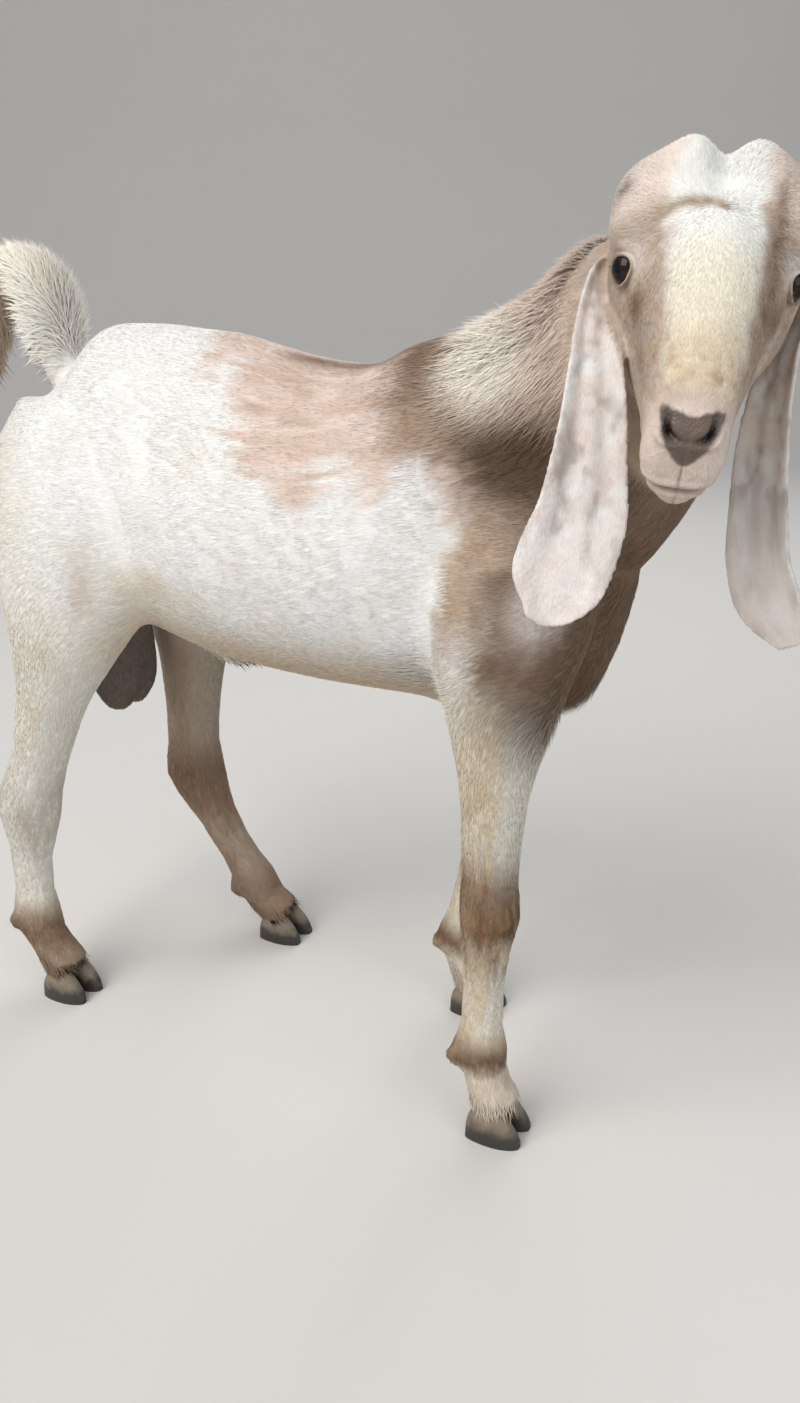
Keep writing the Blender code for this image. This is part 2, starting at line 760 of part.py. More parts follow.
def sheath_locks(home):
    """The tuft at the tip of the sheath."""
    draw = np.random.default_rng(7)
    made = []
    for step in range(SHEATH_LOCKS):
        turn = 2 * math.pi * step / SHEATH_LOCKS
        outward = Vector((0, math.sin(turn), math.cos(turn)))
        root = SHEATH_TIP + outward * 0.0065
        growth = Vector((1.0, 0, -0.35)) + outward * 0.45
        lie = Vector((0.8, 0, -0.8)) + outward * 0.25
        made.append(lock(root, growth, lie, outward, varied(SHEATH_LOCK, draw), home))
    return made


def scrotum(home, finish):
    """The two testes hanging between the thighs in one pouch."""
    rows = [
        (-0.212, 0.0, 0.392, 0.018, 0.018, 0.018),
        (-0.216, 0.0, 0.355, 0.022, 0.020, 0.020),
        (-0.222, 0.0, 0.322, 0.030, 0.026, 0.025),
        (-0.226, 0.0, 0.292, 0.031, 0.027, 0.026),
        (-0.227, 0.0, 0.270, 0.019, 0.016, 0.016),
        (-0.227, 0.0, 0.265, 0.006, 0.005, 0.005),
    ]
    rows = through(rows, 12)
    rings = sections(rows[:, :3], rows[:, 3:6], (0, 1, 0), 16)
    low = np.clip((0.35 - rings[..., 2]) / 0.07, 0, 1)
    groove = 0.006 * low * np.exp(-((rings[..., 1] / 0.006) ** 2))
    towards = np.where(rings[..., 0] > rows[:, None, 0], -1.0, 1.0)
    rings[..., 0] += towards * groove
    rings[..., 2] += groove * (rings[..., 2] < 0.29)
    return put("scrotum", tube_mesh("scrotum", rings), home, finish)


def sheath(home, finish):
    """The short sheath that points forward under the belly."""
    rows = [
        (-0.150, 0.0, 0.368, 0.010, 0.010, 0.010),
        (-0.132, 0.0, 0.354, 0.014, 0.012, 0.011),
        (-0.110, 0.0, 0.344, 0.014, 0.012, 0.012),
        (-0.095, 0.0, 0.340, 0.009, 0.009, 0.009),
        (-0.089, 0.0, 0.339, 0.004, 0.004, 0.004),
    ]
    rows = through(rows, 10)
    rings = sections(rows[:, :3], rows[:, 3:6], (0, 1, 0), 12)
    return put("sheath", tube_mesh("sheath", rings), home, finish)


# One claw of a hoof in its own frame: forward from under the coronet, side, height. Each row:
# place, half width, height of the wall above the floor.
CLAW = [
    (-0.0185, 0.0042, 0.012),
    (-0.0165, 0.0075, 0.020),
    (-0.0100, 0.0093, 0.025),
    (-0.0010, 0.0098, 0.028),
    (0.0080, 0.0093, 0.027),
    (0.0160, 0.0076, 0.020),
    (0.0220, 0.0052, 0.013),
    (0.0258, 0.0023, 0.007),
]
CLAW_SPREAD = 0.0112
CLAW_FLARE = 1.10


def claw(name, coronet, side, home, finish):
    """One of the two horny claws of a foot, flat below and rounded in front."""
    rows = through(CLAW, 9)
    angle = np.linspace(-math.pi / 2, math.pi / 2, 6)
    outline = [(math.sin(a), math.cos(a)) for a in angle]
    ring = []
    for across, up in outline:
        ring.append((across, 0.35 + 0.65 * up))
    ring = [(-CLAW_FLARE, 0.0)] + ring + [(CLAW_FLARE, 0.0)]
    points = np.zeros((len(rows), len(ring), 3))
    for k, (across, up) in enumerate(ring):
        points[:, k, 0] = rows[:, 0]
        points[:, k, 1] = rows[:, 1] * across
        points[:, k, 2] = rows[:, 2] * up
    points += np.array((coronet[0], coronet[1] + side * CLAW_SPREAD, 0.0))
    return put(name, tube_mesh(name, points), home, finish)


# Thin cuts that part the body. Each row: name, place, the way the cut faces, and its half sizes
SLABS = [
    ("cut_neck", (0.176, 0.0, 0.520), (0.84, 0.0, 0.54), (0.160, 0.100)),
    ("cut_fore_right", (0.163, -0.074, 0.362), (0.0, 0.60, 0.80), (0.064, 0.048)),
    ("cut_fore_left", (0.134, 0.074, 0.360), (0.0, -0.60, 0.80), (0.064, 0.048)),
    ("cut_hind_right", (-0.214, -0.070, 0.372), (0.00, 0.62, 0.78), (0.092, 0.058)),
    ("cut_hind_left", (-0.190, 0.072, 0.368), (0.00, -0.62, 0.78), (0.092, 0.058)),
]


def slab(name, place, facing, halves, home):
    """A sheet as thin as a cut, square to facing, with its first side running along the body."""
    bpy.ops.mesh.primitive_cube_add(size=2)
    obj = adopt(home)
    obj.name = name
    square = Vector(facing).normalized()
    second = square.cross(Vector((1, 0, 0))).normalized()
    first = second.cross(square)
    turn = Matrix((first, second, square)).transposed().to_4x4()
    size = Matrix.Diagonal((halves[0], halves[1], CUT / 2, 1))
    obj.data.transform(Matrix.Translation(place) @ turn @ size)
    return obj


# Where each part of the body lies, to name it once the cuts are made
FLESH_NODES = {
    "neck": (0.225, 0.0, 0.56),
    "foreleg_right": (0.165, -0.07, 0.20),
    "foreleg_left": (0.120, 0.07, 0.20),
    "hindleg_right": (-0.240, -0.075, 0.26),
    "hindleg_left": (-0.190, 0.078, 0.24),
}
SMALLEST_PART = 1e-5


def build():
    clear_scene()
    goat = collection("billy_goat")
    work = collection("work")
    white = material("white_coat", (0.86, 0.84, 0.80), 0.8)
    tan = material("tan_coat", (0.66, 0.50, 0.38), 0.8)
    cream = material("cream_coat", (0.85, 0.80, 0.68), 0.8)
    ear_skin = material("ear_skin", (0.80, 0.74, 0.71), 0.7)
    dark_skin = material("dark_skin", (0.25, 0.21, 0.20), 0.7)
    horn = material("hoof_horn", (0.13, 0.11, 0.10), 0.45)
    wet = material("eye", (0.03, 0.02, 0.02), 0.05)
    coat = {"neck": tan}

    legs = {
        "foreleg_right": (FORELEG_RIGHT, FORELEG_PROFILE),
        "foreleg_left": (FORELEG_LEFT, FORELEG_PROFILE),
        "hindleg_right": (HINDLEG_RIGHT, HINDLEG_PROFILE),
        "hindleg_left": (HINDLEG_LEFT, HINDLEG_PROFILE),
    }
    forms = [trunk(work), neck(work)]
    for name, (joints, profile) in legs.items():
        forms.append(leg(name + "_form", joints, profile, work))
        forms += dewclaws(joints, work)
    flesh = melted(forms, work)
    bpy.context.view_layer.update()
    boolean(flesh, crest_locks(flesh, work), "UNION")

    head_obj = head(goat, cream)
    eye("eye_right", -1, goat, wet)
    eye("eye_left", 1, goat, wet)
    ears = [
        ear("ear_right", -1, EAR_RIGHT, EAR_FACING_RIGHT, goat, ear_skin),
        ear("ear_left", 1, EAR_LEFT, EAR_FACING_LEFT, goat, ear_skin),
    ]
    tail_obj = tail(goat, cream)
    pouch = scrotum(goat, dark_skin)
    tip = sheath(goat, cream)
    claws = []
    for name, (joints, _) in legs.items():
        for side, label in ((-1, "right"), (1, "left")):
            hoof = f"hoof_{name}_{label}"
            claws.append(claw(hoof, joints[-1], side, goat, horn))

    boolean(flesh, [grown(head_obj, GAP, work)], "DIFFERENCE")
    boolean(flesh, [grown(obj, GAP, work) for obj in claws], "DIFFERENCE")
    for obj in ears:
        rooms = [grown(head_obj, GAP, work), grown(flesh, GAP, work)]
        boolean(obj, rooms, "DIFFERENCE", "MANIFOLD")
        largest(obj)
    boolean(tail_obj, tail_locks(work), "UNION")
    thinned(tail_obj, HAIR_SHARE)
    boolean(tip, sheath_locks(work), "UNION")
    for obj in (tail_obj, pouch, tip):
        boolean(obj, [grown(flesh, GAP, work)], "DIFFERENCE")
        largest(obj)
    cuts = [slab(*row, work) for row in SLABS]
    boolean(flesh, cuts, "DIFFERENCE")

    anchors = {name: Vector(place) for name, place in FLESH_NODES.items()}
    for rank, (volume, middle, faces) in enumerate(shells(flesh.data)):
        if volume < SMALLEST_PART:
            break
        name = "torso"
        if rank:
            name = min(anchors, key=lambda key: (anchors[key] - middle).length)
            anchors.pop(name)
        put(name, only_faces(flesh.data, faces), goat, coat.get(name, white))
    bpy.data.objects.remove(flesh)

    for obj in goat.objects:
        obj.data.transform(Matrix.Translation((-BOX_CENTRE[0], -BOX_CENTRE[1], 0)))
        obj.data.shade_smooth()


build()
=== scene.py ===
import math

import bmesh
import bpy
import numpy as np
from mathutils import Matrix, Vector


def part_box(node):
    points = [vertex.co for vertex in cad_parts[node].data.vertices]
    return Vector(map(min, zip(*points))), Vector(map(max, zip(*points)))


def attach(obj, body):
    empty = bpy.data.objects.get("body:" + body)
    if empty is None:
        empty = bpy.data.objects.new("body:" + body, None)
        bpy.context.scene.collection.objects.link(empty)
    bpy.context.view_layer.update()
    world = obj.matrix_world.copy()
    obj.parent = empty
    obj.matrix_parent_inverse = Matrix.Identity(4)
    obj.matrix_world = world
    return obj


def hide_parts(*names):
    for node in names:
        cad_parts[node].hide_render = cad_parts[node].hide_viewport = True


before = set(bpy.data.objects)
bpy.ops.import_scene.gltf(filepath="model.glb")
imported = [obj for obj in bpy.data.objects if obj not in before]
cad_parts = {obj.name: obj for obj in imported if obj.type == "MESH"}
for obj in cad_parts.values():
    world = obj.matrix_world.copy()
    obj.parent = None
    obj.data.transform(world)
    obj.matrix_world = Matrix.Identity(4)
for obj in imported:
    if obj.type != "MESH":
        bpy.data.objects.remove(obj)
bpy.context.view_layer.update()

# A young polled billy goat with long hanging ears, as a life-size model. Metres, +Z up; it walks
# towards +X, its left side is +Y, and it stands on z = 0.

# Camera
# It stands before the goat's right shoulder, a little over the withers, and looks down at it. Its
# place, heading and focal length come from the photo's horizon and the four feet.
CAMERA_PLACE = (0.424, -0.705, 0.640)
CAMERA_HEADING = math.radians(27.0)
CAMERA_DIP = math.radians(21.7)
FOCAL_PIXELS = 1091
IMAGE_HEIGHT = 1403
SENSOR_HEIGHT = 24.0

camera = bpy.data.objects.new("camera", bpy.data.cameras.new("camera"))
bpy.context.scene.collection.objects.link(camera)
camera.location = CAMERA_PLACE
camera.rotation_euler = (math.pi / 2 - CAMERA_DIP, 0, CAMERA_HEADING)
camera.data.sensor_fit = "VERTICAL"
camera.data.sensor_height = SENSOR_HEIGHT
camera.data.lens = FOCAL_PIXELS * SENSOR_HEIGHT / IMAGE_HEIGHT
camera.data.clip_start = 0.01
bpy.context.scene.camera = camera

# Flesh
# The whole body under its coat, from muzzle to coronets: muscle and bone under one soft hide. The
# torso, legs and scrotum are the frame's own; head, neck, ears, tail and sheath are lofted here
# from the sizes of the solids, finer. All of it is melted into one closed surface.
GOAT_ORIGIN = np.array((0.004, 0.010, 0.0))
HALF_CUT = 0.0005
SKIN_VOXEL = 0.0014
SKIN_TRIANGLES = 160000

HEAD_CENTRE = Vector((0.2710, -0.0410, 0.6195)) + Vector(GOAT_ORIGIN)
HEAD_YAW = math.radians(-76.3)
HEAD_PITCH = math.radians(-27)
HEAD_ROLL = math.radians(-6)
HEAD_MATRIX = np.array(
    Matrix.Translation(HEAD_CENTRE)
    @ Matrix.Rotation(HEAD_YAW, 4, "Z")
    @ Matrix.Rotation(-HEAD_PITCH, 4, "Y")
    @ Matrix.Rotation(HEAD_ROLL, 4, "X")
)

# Each row: place forward of the eyes, level of the widest part, half width, reach up and down
HEAD = [
    (-0.0740, 0.004, 0.014, 0.016, 0.020),
    (-0.0690, 0.004, 0.032, 0.036, 0.040),
    (-0.0540, 0.008, 0.0480, 0.052, 0.062),
    (-0.0280, 0.014, 0.0545, 0.052, 0.078),
    (0.0000, 0.016, 0.0535, 0.044, 0.084),
    (0.0220, 0.010, 0.0450, 0.045, 0.076),
    (0.0440, 0.002, 0.0360, 0.044, 0.065),
    (0.0640, -0.007, 0.0290, 0.040, 0.056),
    (0.0810, -0.015, 0.0245, 0.034, 0.050),
    (0.0940, -0.022, 0.0228, 0.026, 0.043),
    (0.1030, -0.027, 0.0205, 0.018, 0.035),
    (0.1085, -0.031, 0.0145, 0.011, 0.023),
    (0.1100, -0.032, 0.0060, 0.005, 0.009),
]
MOUTH_LEVEL = -0.0490
MOUTH_BACK = 0.066

# Swellings and hollows of the face, on both sides: centre, reach along each axis, height
FACE_FORMS = [
    ((-0.050, 0.015, 0.056), (0.026, 0.014, 0.026), 0.0110),
    ((-0.034, 0.042, 0.048), (0.032, 0.022, 0.026), 0.0130),
    ((-0.016, 0.000, 0.066), (0.009, 0.017, 0.012), -0.0050),
    ((-0.045, 0.000, 0.070), (0.026, 0.0085, 0.026), -0.0072),
    ((0.030, 0.000, 0.052), (0.028, 0.020, 0.020), 0.0045),
    ((0.000, 0.050, 0.036), (0.016, 0.013, 0.009), 0.0050),
    ((0.018, 0.049, 0.014), (0.009, 0.012, 0.010), -0.0030),
    ((-0.014, 0.048, -0.034), (0.024, 0.016, 0.024), 0.0045),
    ((0.036, 0.034, -0.006), (0.018, 0.012, 0.012), -0.0035),
    ((0.097, 0.014, -0.036), (0.010, 0.011, 0.010), 0.0030),
    ((0.090, 0.000, -0.066), (0.012, 0.013, 0.012), 0.0035),
    ((0.106, 0.011, -0.014), (0.007, 0.008, 0.009), 0.0028),
]

# The chest from the shoulders forward: place, height of the widest level, half width, and reach
# up to the withers and down to the brisket
CHEST = [
    (0.050, 0.449, 0.094, 0.131, 0.113),
    (0.090, 0.451, 0.087, 0.147, 0.115),
    (0.130, 0.450, 0.079, 0.154, 0.121),
    (0.175, 0.444, 0.071, 0.126, 0.114),
    (0.206, 0.437, 0.059, 0.074, 0.101),
    (0.224, 0.433, 0.042, 0.044, 0.086),
    (0.234, 0.431, 0.018, 0.020, 0.044),
]

# Centre, half width, and reach to the crest or upper side and to the throat or under side
NECK = [
    (0.110, 0.000, 0.490, 0.045, 0.080, 0.075),
    (0.156, 0.000, 0.507, 0.062, 0.108, 0.096),
    (0.190, 0.000, 0.537, 0.060, 0.098, 0.091),
    (0.217, 0.000, 0.572, 0.052, 0.084, 0.077),
    (0.235, 0.001, 0.606, 0.046, 0.070, 0.060),
    (0.248, 0.001, 0.634, 0.042, 0.056, 0.046),
    (0.254, 0.000, 0.654, 0.036, 0.042, 0.038),
]
TAIL = [
    (-0.246, 0.000, 0.548, 0.020, 0.018, 0.018),
    (-0.260, 0.000, 0.576, 0.022, 0.017, 0.018),
    (-0.263, 0.000, 0.604, 0.023, 0.016, 0.018),
    (-0.272, 0.000, 0.626, 0.023, 0.014, 0.016),
    (-0.292, 0.000, 0.637, 0.022, 0.012, 0.013),
    (-0.314, 0.000, 0.632, 0.021, 0.013, 0.013),
    (-0.330, 0.000, 0.613, 0.020, 0.012, 0.012),
    (-0.338, 0.000, 0.588, 0.016, 0.010, 0.010),
    (-0.341, 0.000, 0.564, 0.006, 0.004, 0.004),
]
TAIL_CORE = 0.93
SHEATH = [
    (-0.150, 0.0, 0.368, 0.010, 0.010, 0.010),
    (-0.132, 0.0, 0.354, 0.014, 0.012, 0.011),
    (-0.110, 0.0, 0.344, 0.014, 0.012, 0.012),
    (-0.095, 0.0, 0.340, 0.009, 0.009, 0.009),
    (-0.089, 0.0, 0.339, 0.004, 0.004, 0.004),
]

# Each ear's middle line from its root to its tip, half width, and fold of its edges
EAR_RIGHT = [
    (0.2145, -0.036, 0.638, 0.0115, 1.35),
    (0.2150, -0.054, 0.622, 0.0135, 1.15),
    (0.2180, -0.066, 0.604, 0.0155, 0.95),
    (0.2220, -0.075, 0.583, 0.0180, 0.75),
    (0.2245, -0.082, 0.558, 0.0205, 0.55),
    (0.2250, -0.088, 0.530, 0.0240, 0.45),
    (0.2240, -0.093, 0.503, 0.0280, 0.38),
    (0.2195, -0.100, 0.482, 0.0300, 0.32),
    (0.2135, -0.104, 0.463, 0.0290, 0.26),
    (0.2080, -0.106, 0.449, 0.0200, 0.20),
    (0.2020, -0.109, 0.439, 0.0050, 0.10),
]
EAR_LEFT = [
    (0.3210, 0.009, 0.632, 0.0115, 1.35),
    (0.3230, 0.003, 0.615, 0.0135, 1.15),
    (0.3180, -0.002, 0.597, 0.0155, 0.95),
    (0.3150, -0.005, 0.577, 0.0175, 0.75),
    (0.3130, -0.008, 0.551, 0.0195, 0.55),
    (0.3130, -0.010, 0.521, 0.0220, 0.45),
    (0.3145, -0.010, 0.494, 0.0250, 0.38),
    (0.3180, -0.010, 0.465, 0.0280, 0.30),
    (0.3280, -0.012, 0.438, 0.0270, 0.20),
    (0.3420, -0.012, 0.414, 0.0090, 0.10),
]
EAR_FACING_RIGHT = (0.25, -0.96, 0.10)
EAR_FACING_LEFT = (-0.55, -0.83, 0.05)
EAR_ROOT = (-0.034, 0.040, 0.004)
EAR_ROOT_SIZE = (0.0090, 1.40)
EAR_THICKNESS = 0.0042
EAR_WAVE = 0.0016
EAR_FOLD = 0.0013
EARS = ((-1, EAR_RIGHT, EAR_FACING_RIGHT), (1, EAR_LEFT, EAR_FACING_LEFT))

# Rings along each loft and points round each ring
HEAD_GRID = (120, 96)
CHEST_GRID = (48, 72)
NECK_GRID = (60, 64)
TAIL_GRID = (60, 24)
SHEATH_GRID = (24, 20)
EAR_GRID = (160, 26)

# Powers of the upper and lower half of a ring: below 1 fuller than an ellipse, above 1 pinched
HEAD_POWERS = (0.86, 1.10)
CHEST_POWERS = (1.12, 0.92)
NECK_POWERS = (1.15, 0.95)
CHEST_SWELL = 0.985


def through(stations, count):
    """Catmull-Rom curve through the rows of stations, read at count even steps of row number."""
    rows = np.asarray(stations, float)
    padded = np.vstack([2 * rows[0] - rows[1], rows, 2 * rows[-1] - rows[-2]])
    place = np.linspace(0, len(rows) - 1, count)
    row = np.minimum(place.astype(int), len(rows) - 2)
    t = (place - row)[:, None]
    before, start, end, after = (padded[row + k] for k in range(4))
    return 0.5 * (
        2 * start
        + (end - before) * t
        + (2 * before - 5 * start + 4 * end - after) * t**2
        + (3 * start - before - 3 * end + after) * t**3
    )


def unit(vectors):
    """Each row at length one."""
    return vectors / np.maximum(np.linalg.norm(vectors, axis=-1, keepdims=True), 1e-12)


def smooth_step(low, high, value):
    """0 below low, 1 above high, and an even S-curve between."""
    share = np.clip((value - low) / (high - low), 0, 1)
    return share * share * (3 - 2 * share)


def bell(points, centre, reach):
    """exp(-d**2), where d is the distance from centre measured in reach along each axis."""
    return np.exp(-(((points - np.asarray(centre)) / np.asarray(reach)) ** 2).sum(-1))


def to_head(points):
    """Places in the head's own frame: forward along the face, left, and up from the brow."""
    turned = np.linalg.inv(HEAD_MATRIX)
    return points @ turned[:3, :3].T + turned[:3, 3]


def from_head(points):
    """Places on the goat of points given in the head's own frame."""
    return points @ HEAD_MATRIX[:3, :3].T + HEAD_MATRIX[:3, 3]


def outward(points, triangles):
    """The triangles turned so that the closed surface has a positive volume."""
    a, b, c = (points[triangles[:, k]] for k in range(3))
    return triangles if (np.cross(a, b) * c).sum() > 0 else triangles[:, ::-1]


def closed_tube(rings):
    """Points and triangles over rings of equal size: each wall quad in two, a fan on each end."""
    count, sides = rings.shape[:2]
    index = np.arange(count * sides).reshape(count, sides)
    follow = np.roll(index, -1, axis=1)
    a, b, c, d = index[:-1], index[1:], follow[1:], follow[:-1]
    walls = np.concatenate([np.stack([a, b, c], -1), np.stack([a, c, d], -1)]).reshape(-1, 3)
    pole = np.full(sides, count * sides)
    ends = [np.stack([follow[0], index[0], pole], -1), np.stack([index[-1], follow[-1], pole + 1], -1)]
    points = np.concatenate([rings.reshape(-1, 3), rings[0].mean(0)[None], rings[-1].mean(0)[None]])
    return points, outward(points, np.concatenate([walls, *ends]))


def half_ellipses(sides, up, down, powers):
    """Offsets round a ring: half an ellipse above and half below, made fuller or pinched."""
    angle = np.linspace(0, 2 * math.pi, sides, endpoint=False)
    sine, cosine = np.sin(angle), np.cos(angle)
    across = np.sign(sine) * np.abs(sine) ** np.where(cosine > 0, *powers)
    return across, np.where(cosine > 0, up, down) * cosine


def limb(stations, count, sides, powers=(1.0, 1.0), swell=1.0):
    """Rings round a curved path, square to it and level across: half ellipses above and below."""
    rows = through(stations, count)
    centres, halves = rows[:, :3] + GOAT_ORIGIN, rows[:, 3:6] * swell
    along = unit(np.gradient(centres, axis=0))
    side = np.broadcast_to((0.0, 1.0, 0.0), centres.shape)
    side = unit(side - along * (side * along).sum(1, keepdims=True))
    upper = np.cross(along, side)
    across, reach = half_ellipses(sides, halves[:, 1:2], halves[:, 2:3], powers)
    return (
        centres[:, None]
        + side[:, None] * (halves[:, 0:1] * across)[..., None]
        + upper[:, None] * reach[..., None]
    )


def head_rings(count, sides):
    """Rings of the head from poll to lips: ellipses through HEAD, swollen by FACE_FORMS."""
    rows = through(HEAD, count)
    across, reach = half_ellipses(sides, rows[:, 3:4], rows[:, 4:5], HEAD_POWERS)
    points = np.stack(
        [np.broadcast_to(rows[:, 0:1], reach.shape), rows[:, 2:3] * across, rows[:, 1:2] + reach], -1
    )
    centres = np.stack([rows[:, 0], np.zeros(count), rows[:, 1]], -1)
    normal = unit(np.cross(np.gradient(points, axis=1), np.gradient(points, axis=0)))
    normal *= np.sign((normal * (points - centres[:, None])).sum(-1, keepdims=True))
    push = np.zeros(points.shape[:2])
    for centre, reach, height in FACE_FORMS:
        for side in (-1, 1) if centre[1] else (1,):
            push += height * bell(points, (centre[0], side * centre[1], centre[2]), reach)
    return from_head(points + normal * push[..., None])


def ear_rings(side, stations, facing, count, sides):
    """A gutter of thin skin round a hanging middle line, with edges that roll and ripple."""
    root = from_head(np.array((EAR_ROOT[0], side * EAR_ROOT[1], EAR_ROOT[2]))) - GOAT_ORIGIN
    rows = through([(*root, *EAR_ROOT_SIZE), *stations], count)
    centres, halves, fold = rows[:, :3] + GOAT_ORIGIN, rows[:, 3], rows[:, 4]
    along = unit(np.gradient(centres, axis=0))
    face = np.broadcast_to(np.array(facing), centres.shape)
    face = unit(face - along * (face * along).sum(1, keepdims=True))
    lateral = np.cross(along, face)
    share = np.linspace(-1, 1, sides)
    bend = fold[:, None] * share
    radius = halves / np.maximum(fold, 0.05)
    down = np.linspace(0, 1, count)[:, None]
    ripple = EAR_WAVE * np.sin(11 * down + 2 * share) * share**4
    ripple = ripple + EAR_FOLD * np.sin(7 * share + 3 * down) * (1 - share**4) * np.sin(math.pi * down)
    across = radius[:, None] * np.sin(bend)
    forward = radius[:, None] * (1 - np.cos(bend)) + ripple
    middle = centres[:, None] + lateral[:, None] * across[..., None] + face[:, None] * forward[..., None]
    lean = -np.sin(bend)[..., None] * lateral[:, None] + np.cos(bend)[..., None] * face[:, None]
    rim = np.sqrt(np.clip(1 - share**4, 0.42, 1))[None, :, None] * EAR_THICKNESS / 2
    return np.concatenate([middle + lean * rim, (middle - lean * rim)[:, ::-1]], axis=1)


def normals_of(points, triangles):
    """Normals at the points: the sum of the cross products of the triangles round each."""
    a, b, c = (points[triangles[:, k]] for k in range(3))
    flat = np.cross(b - a, c - a)
    summed = [
        np.bincount(triangles.ravel(), np.repeat(flat[:, k], 3), minlength=len(points)) for k in range(3)
    ]
    return unit(np.stack(summed, -1))


def read_surface(mesh):
    """The points and triangles of a mesh as arrays."""
    points = np.empty(len(mesh.vertices) * 3, np.float32)
    mesh.vertices.foreach_get("co", points)
    mesh.calc_loop_triangles()
    triangles = np.empty(len(mesh.loop_triangles) * 3, np.int32)
    mesh.loop_triangles.foreach_get("vertices", triangles)
    return points.reshape(-1, 3).astype(float), triangles.reshape(-1, 3)


def node_surface(name):
    """A CAD node's surface, merged, and moved out by half the cut so that neighbours join."""
    points, triangles = read_surface(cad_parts[name].data)
    _, first, index = np.unique(
        np.round(points, 6), axis=0, return_index=True, return_inverse=True
    )
    points, triangles = points[first], index.reshape(-1)[triangles]
    return points + normals_of(points, triangles) * HALF_CUT, triangles


def mesh_of(name, points, triangles):
    """A smooth mesh from arrays of points and triangles."""
    mesh = bpy.data.meshes.new(name)
    mesh.vertices.add(len(points))
    mesh.vertices.foreach_set("co", points.astype(np.float32).ravel())
    mesh.loops.add(3 * len(triangles))
    mesh.loops.foreach_set("vertex_index", triangles.astype(np.int32).ravel())
    mesh.polygons.add(len(triangles))
    mesh.polygons.foreach_set("loop_start", np.arange(0, 3 * len(triangles), 3, dtype=np.int32))
    mesh.polygons.foreach_set("use_smooth", np.ones(len(triangles), bool))
    mesh.update(calc_edges=True)
    return mesh


def joined(surfaces):
    """Several surfaces as one pair of arrays."""
    starts = np.cumsum([0] + [len(points) for points, _ in surfaces[:-1]])
    return (
        np.concatenate([points for points, _ in surfaces]),
        np.concatenate([triangles + start for (_, triangles), start in zip(surfaces, starts)]),
    )


def placed(name, mesh):
    """An object for the mesh in the scene."""
    obj = bpy.data.objects.new(name, mesh)
    bpy.context.scene.collection.objects.link(obj)
    return obj


def applied(obj):
    """Replaces the object's mesh by its evaluated one and drops its modifiers."""
    graph = bpy.context.evaluated_depsgraph_get()
    mesh = bpy.data.meshes.new_from_object(obj.evaluated_get(graph))
    obj.modifiers.clear()
    obj.data = mesh


flesh_nodes = ("torso", "foreleg_right", "foreleg_left", "hindleg_right", "hindleg_left", "scrotum")
forms = [node_surface(name) for name in flesh_nodes]
forms.append(closed_tube(head_rings(*HEAD_GRID)))
chest_line = [(place, 0.0, *rest) for place, *rest in CHEST]
forms.append(closed_tube(limb(chest_line, *CHEST_GRID, CHEST_POWERS, CHEST_SWELL)))
forms.append(closed_tube(limb(NECK, *NECK_GRID, NECK_POWERS)))
forms.append(closed_tube(limb(TAIL, *TAIL_GRID, swell=TAIL_CORE)))
forms.append(closed_tube(limb(SHEATH, *SHEATH_GRID)))
forms += [closed_tube(ear_rings(*ear, *EAR_GRID)) for ear in EARS]

skin = placed("skin", mesh_of("skin", *joined(forms)))
melt = skin.modifiers.new("melt", "REMESH")
melt.mode = "VOXEL"
melt.voxel_size = SKIN_VOXEL
relax = skin.modifiers.new("relax", "SMOOTH")
relax.factor = 0.5
relax.iterations = 5
applied(skin)

# Trunk, neck and the head's back are evened out more than the face, ears, lower legs and tail,
# and most of all where the neck meets the withers
EVENING = 60
EVENING_LATER = 5
WITHERS = (0.122, 0.0, 0.588)
WITHERS_LATER = 15


def even_weights(points):
    """How far each place of the skin is evened out, and each place by the withers."""
    x, y, z = points.T
    face = to_head(points)
    away = np.linalg.norm(face, axis=1)
    trunk = smooth_step(0.262, 0.280, z) * smooth_step(-0.270, -0.254, x) * smooth_step(0.250, 0.236, x)
    trunk *= np.maximum(smooth_step(0.197, 0.185, x), smooth_step(-0.072, -0.060, y))
    trunk *= smooth_step(0.100, 0.112, away)
    behind = smooth_step(-0.045, -0.058, face[:, 0]) * smooth_step(0.050, 0.038, face[:, 2])
    behind *= smooth_step(0.150, 0.135, away)
    by_withers = smooth_step(0.048, 0.032, np.linalg.norm(points - WITHERS, axis=1))
    return np.maximum(trunk, behind), by_withers


def evened(weights, rounds):
    """Smooths the skin as far as the weight of each vertex allows, in ten levels."""
    group = skin.vertex_groups.new(name="even")
    for level in range(1, 11):
        here = np.nonzero(np.round(weights * 10) == level)[0]
        group.add(here.tolist(), level / 10, "REPLACE")
    ease = skin.modifiers.new("ease", "SMOOTH")
    ease.factor = 0.5
    ease.iterations = rounds
    ease.vertex_group = "even"
    applied(skin)
    skin.vertex_groups.clear()


even, by_withers = even_weights(read_surface(skin.data)[0])
evened(even, EVENING)
evened(by_withers, 3 * EVENING)

# The head is kept fine while the rest is thinned
HEAD_MIDDLE = (0.03, 0, -0.01)
FINE_REACH = 0.105
points, triangles = read_surface(skin.data)
near_face = np.linalg.norm(to_head(points) - HEAD_MIDDLE, axis=1) < FINE_REACH
keep = skin.vertex_groups.new(name="keep")
keep.add(np.nonzero(near_face)[0].tolist(), 1.0, "REPLACE")
thin = skin.modifiers.new("thin", "DECIMATE")
thin.ratio = SKIN_TRIANGLES / len(triangles)
thin.vertex_group = "keep"
thin.invert_vertex_group = True
thin.vertex_group_factor = 2.0
applied(skin)
skin.vertex_groups.clear()
even, by_withers = even_weights(read_surface(skin.data)[0])
evened(np.maximum(even, by_withers), EVENING_LATER)
evened(by_withers, WITHERS_LATER)

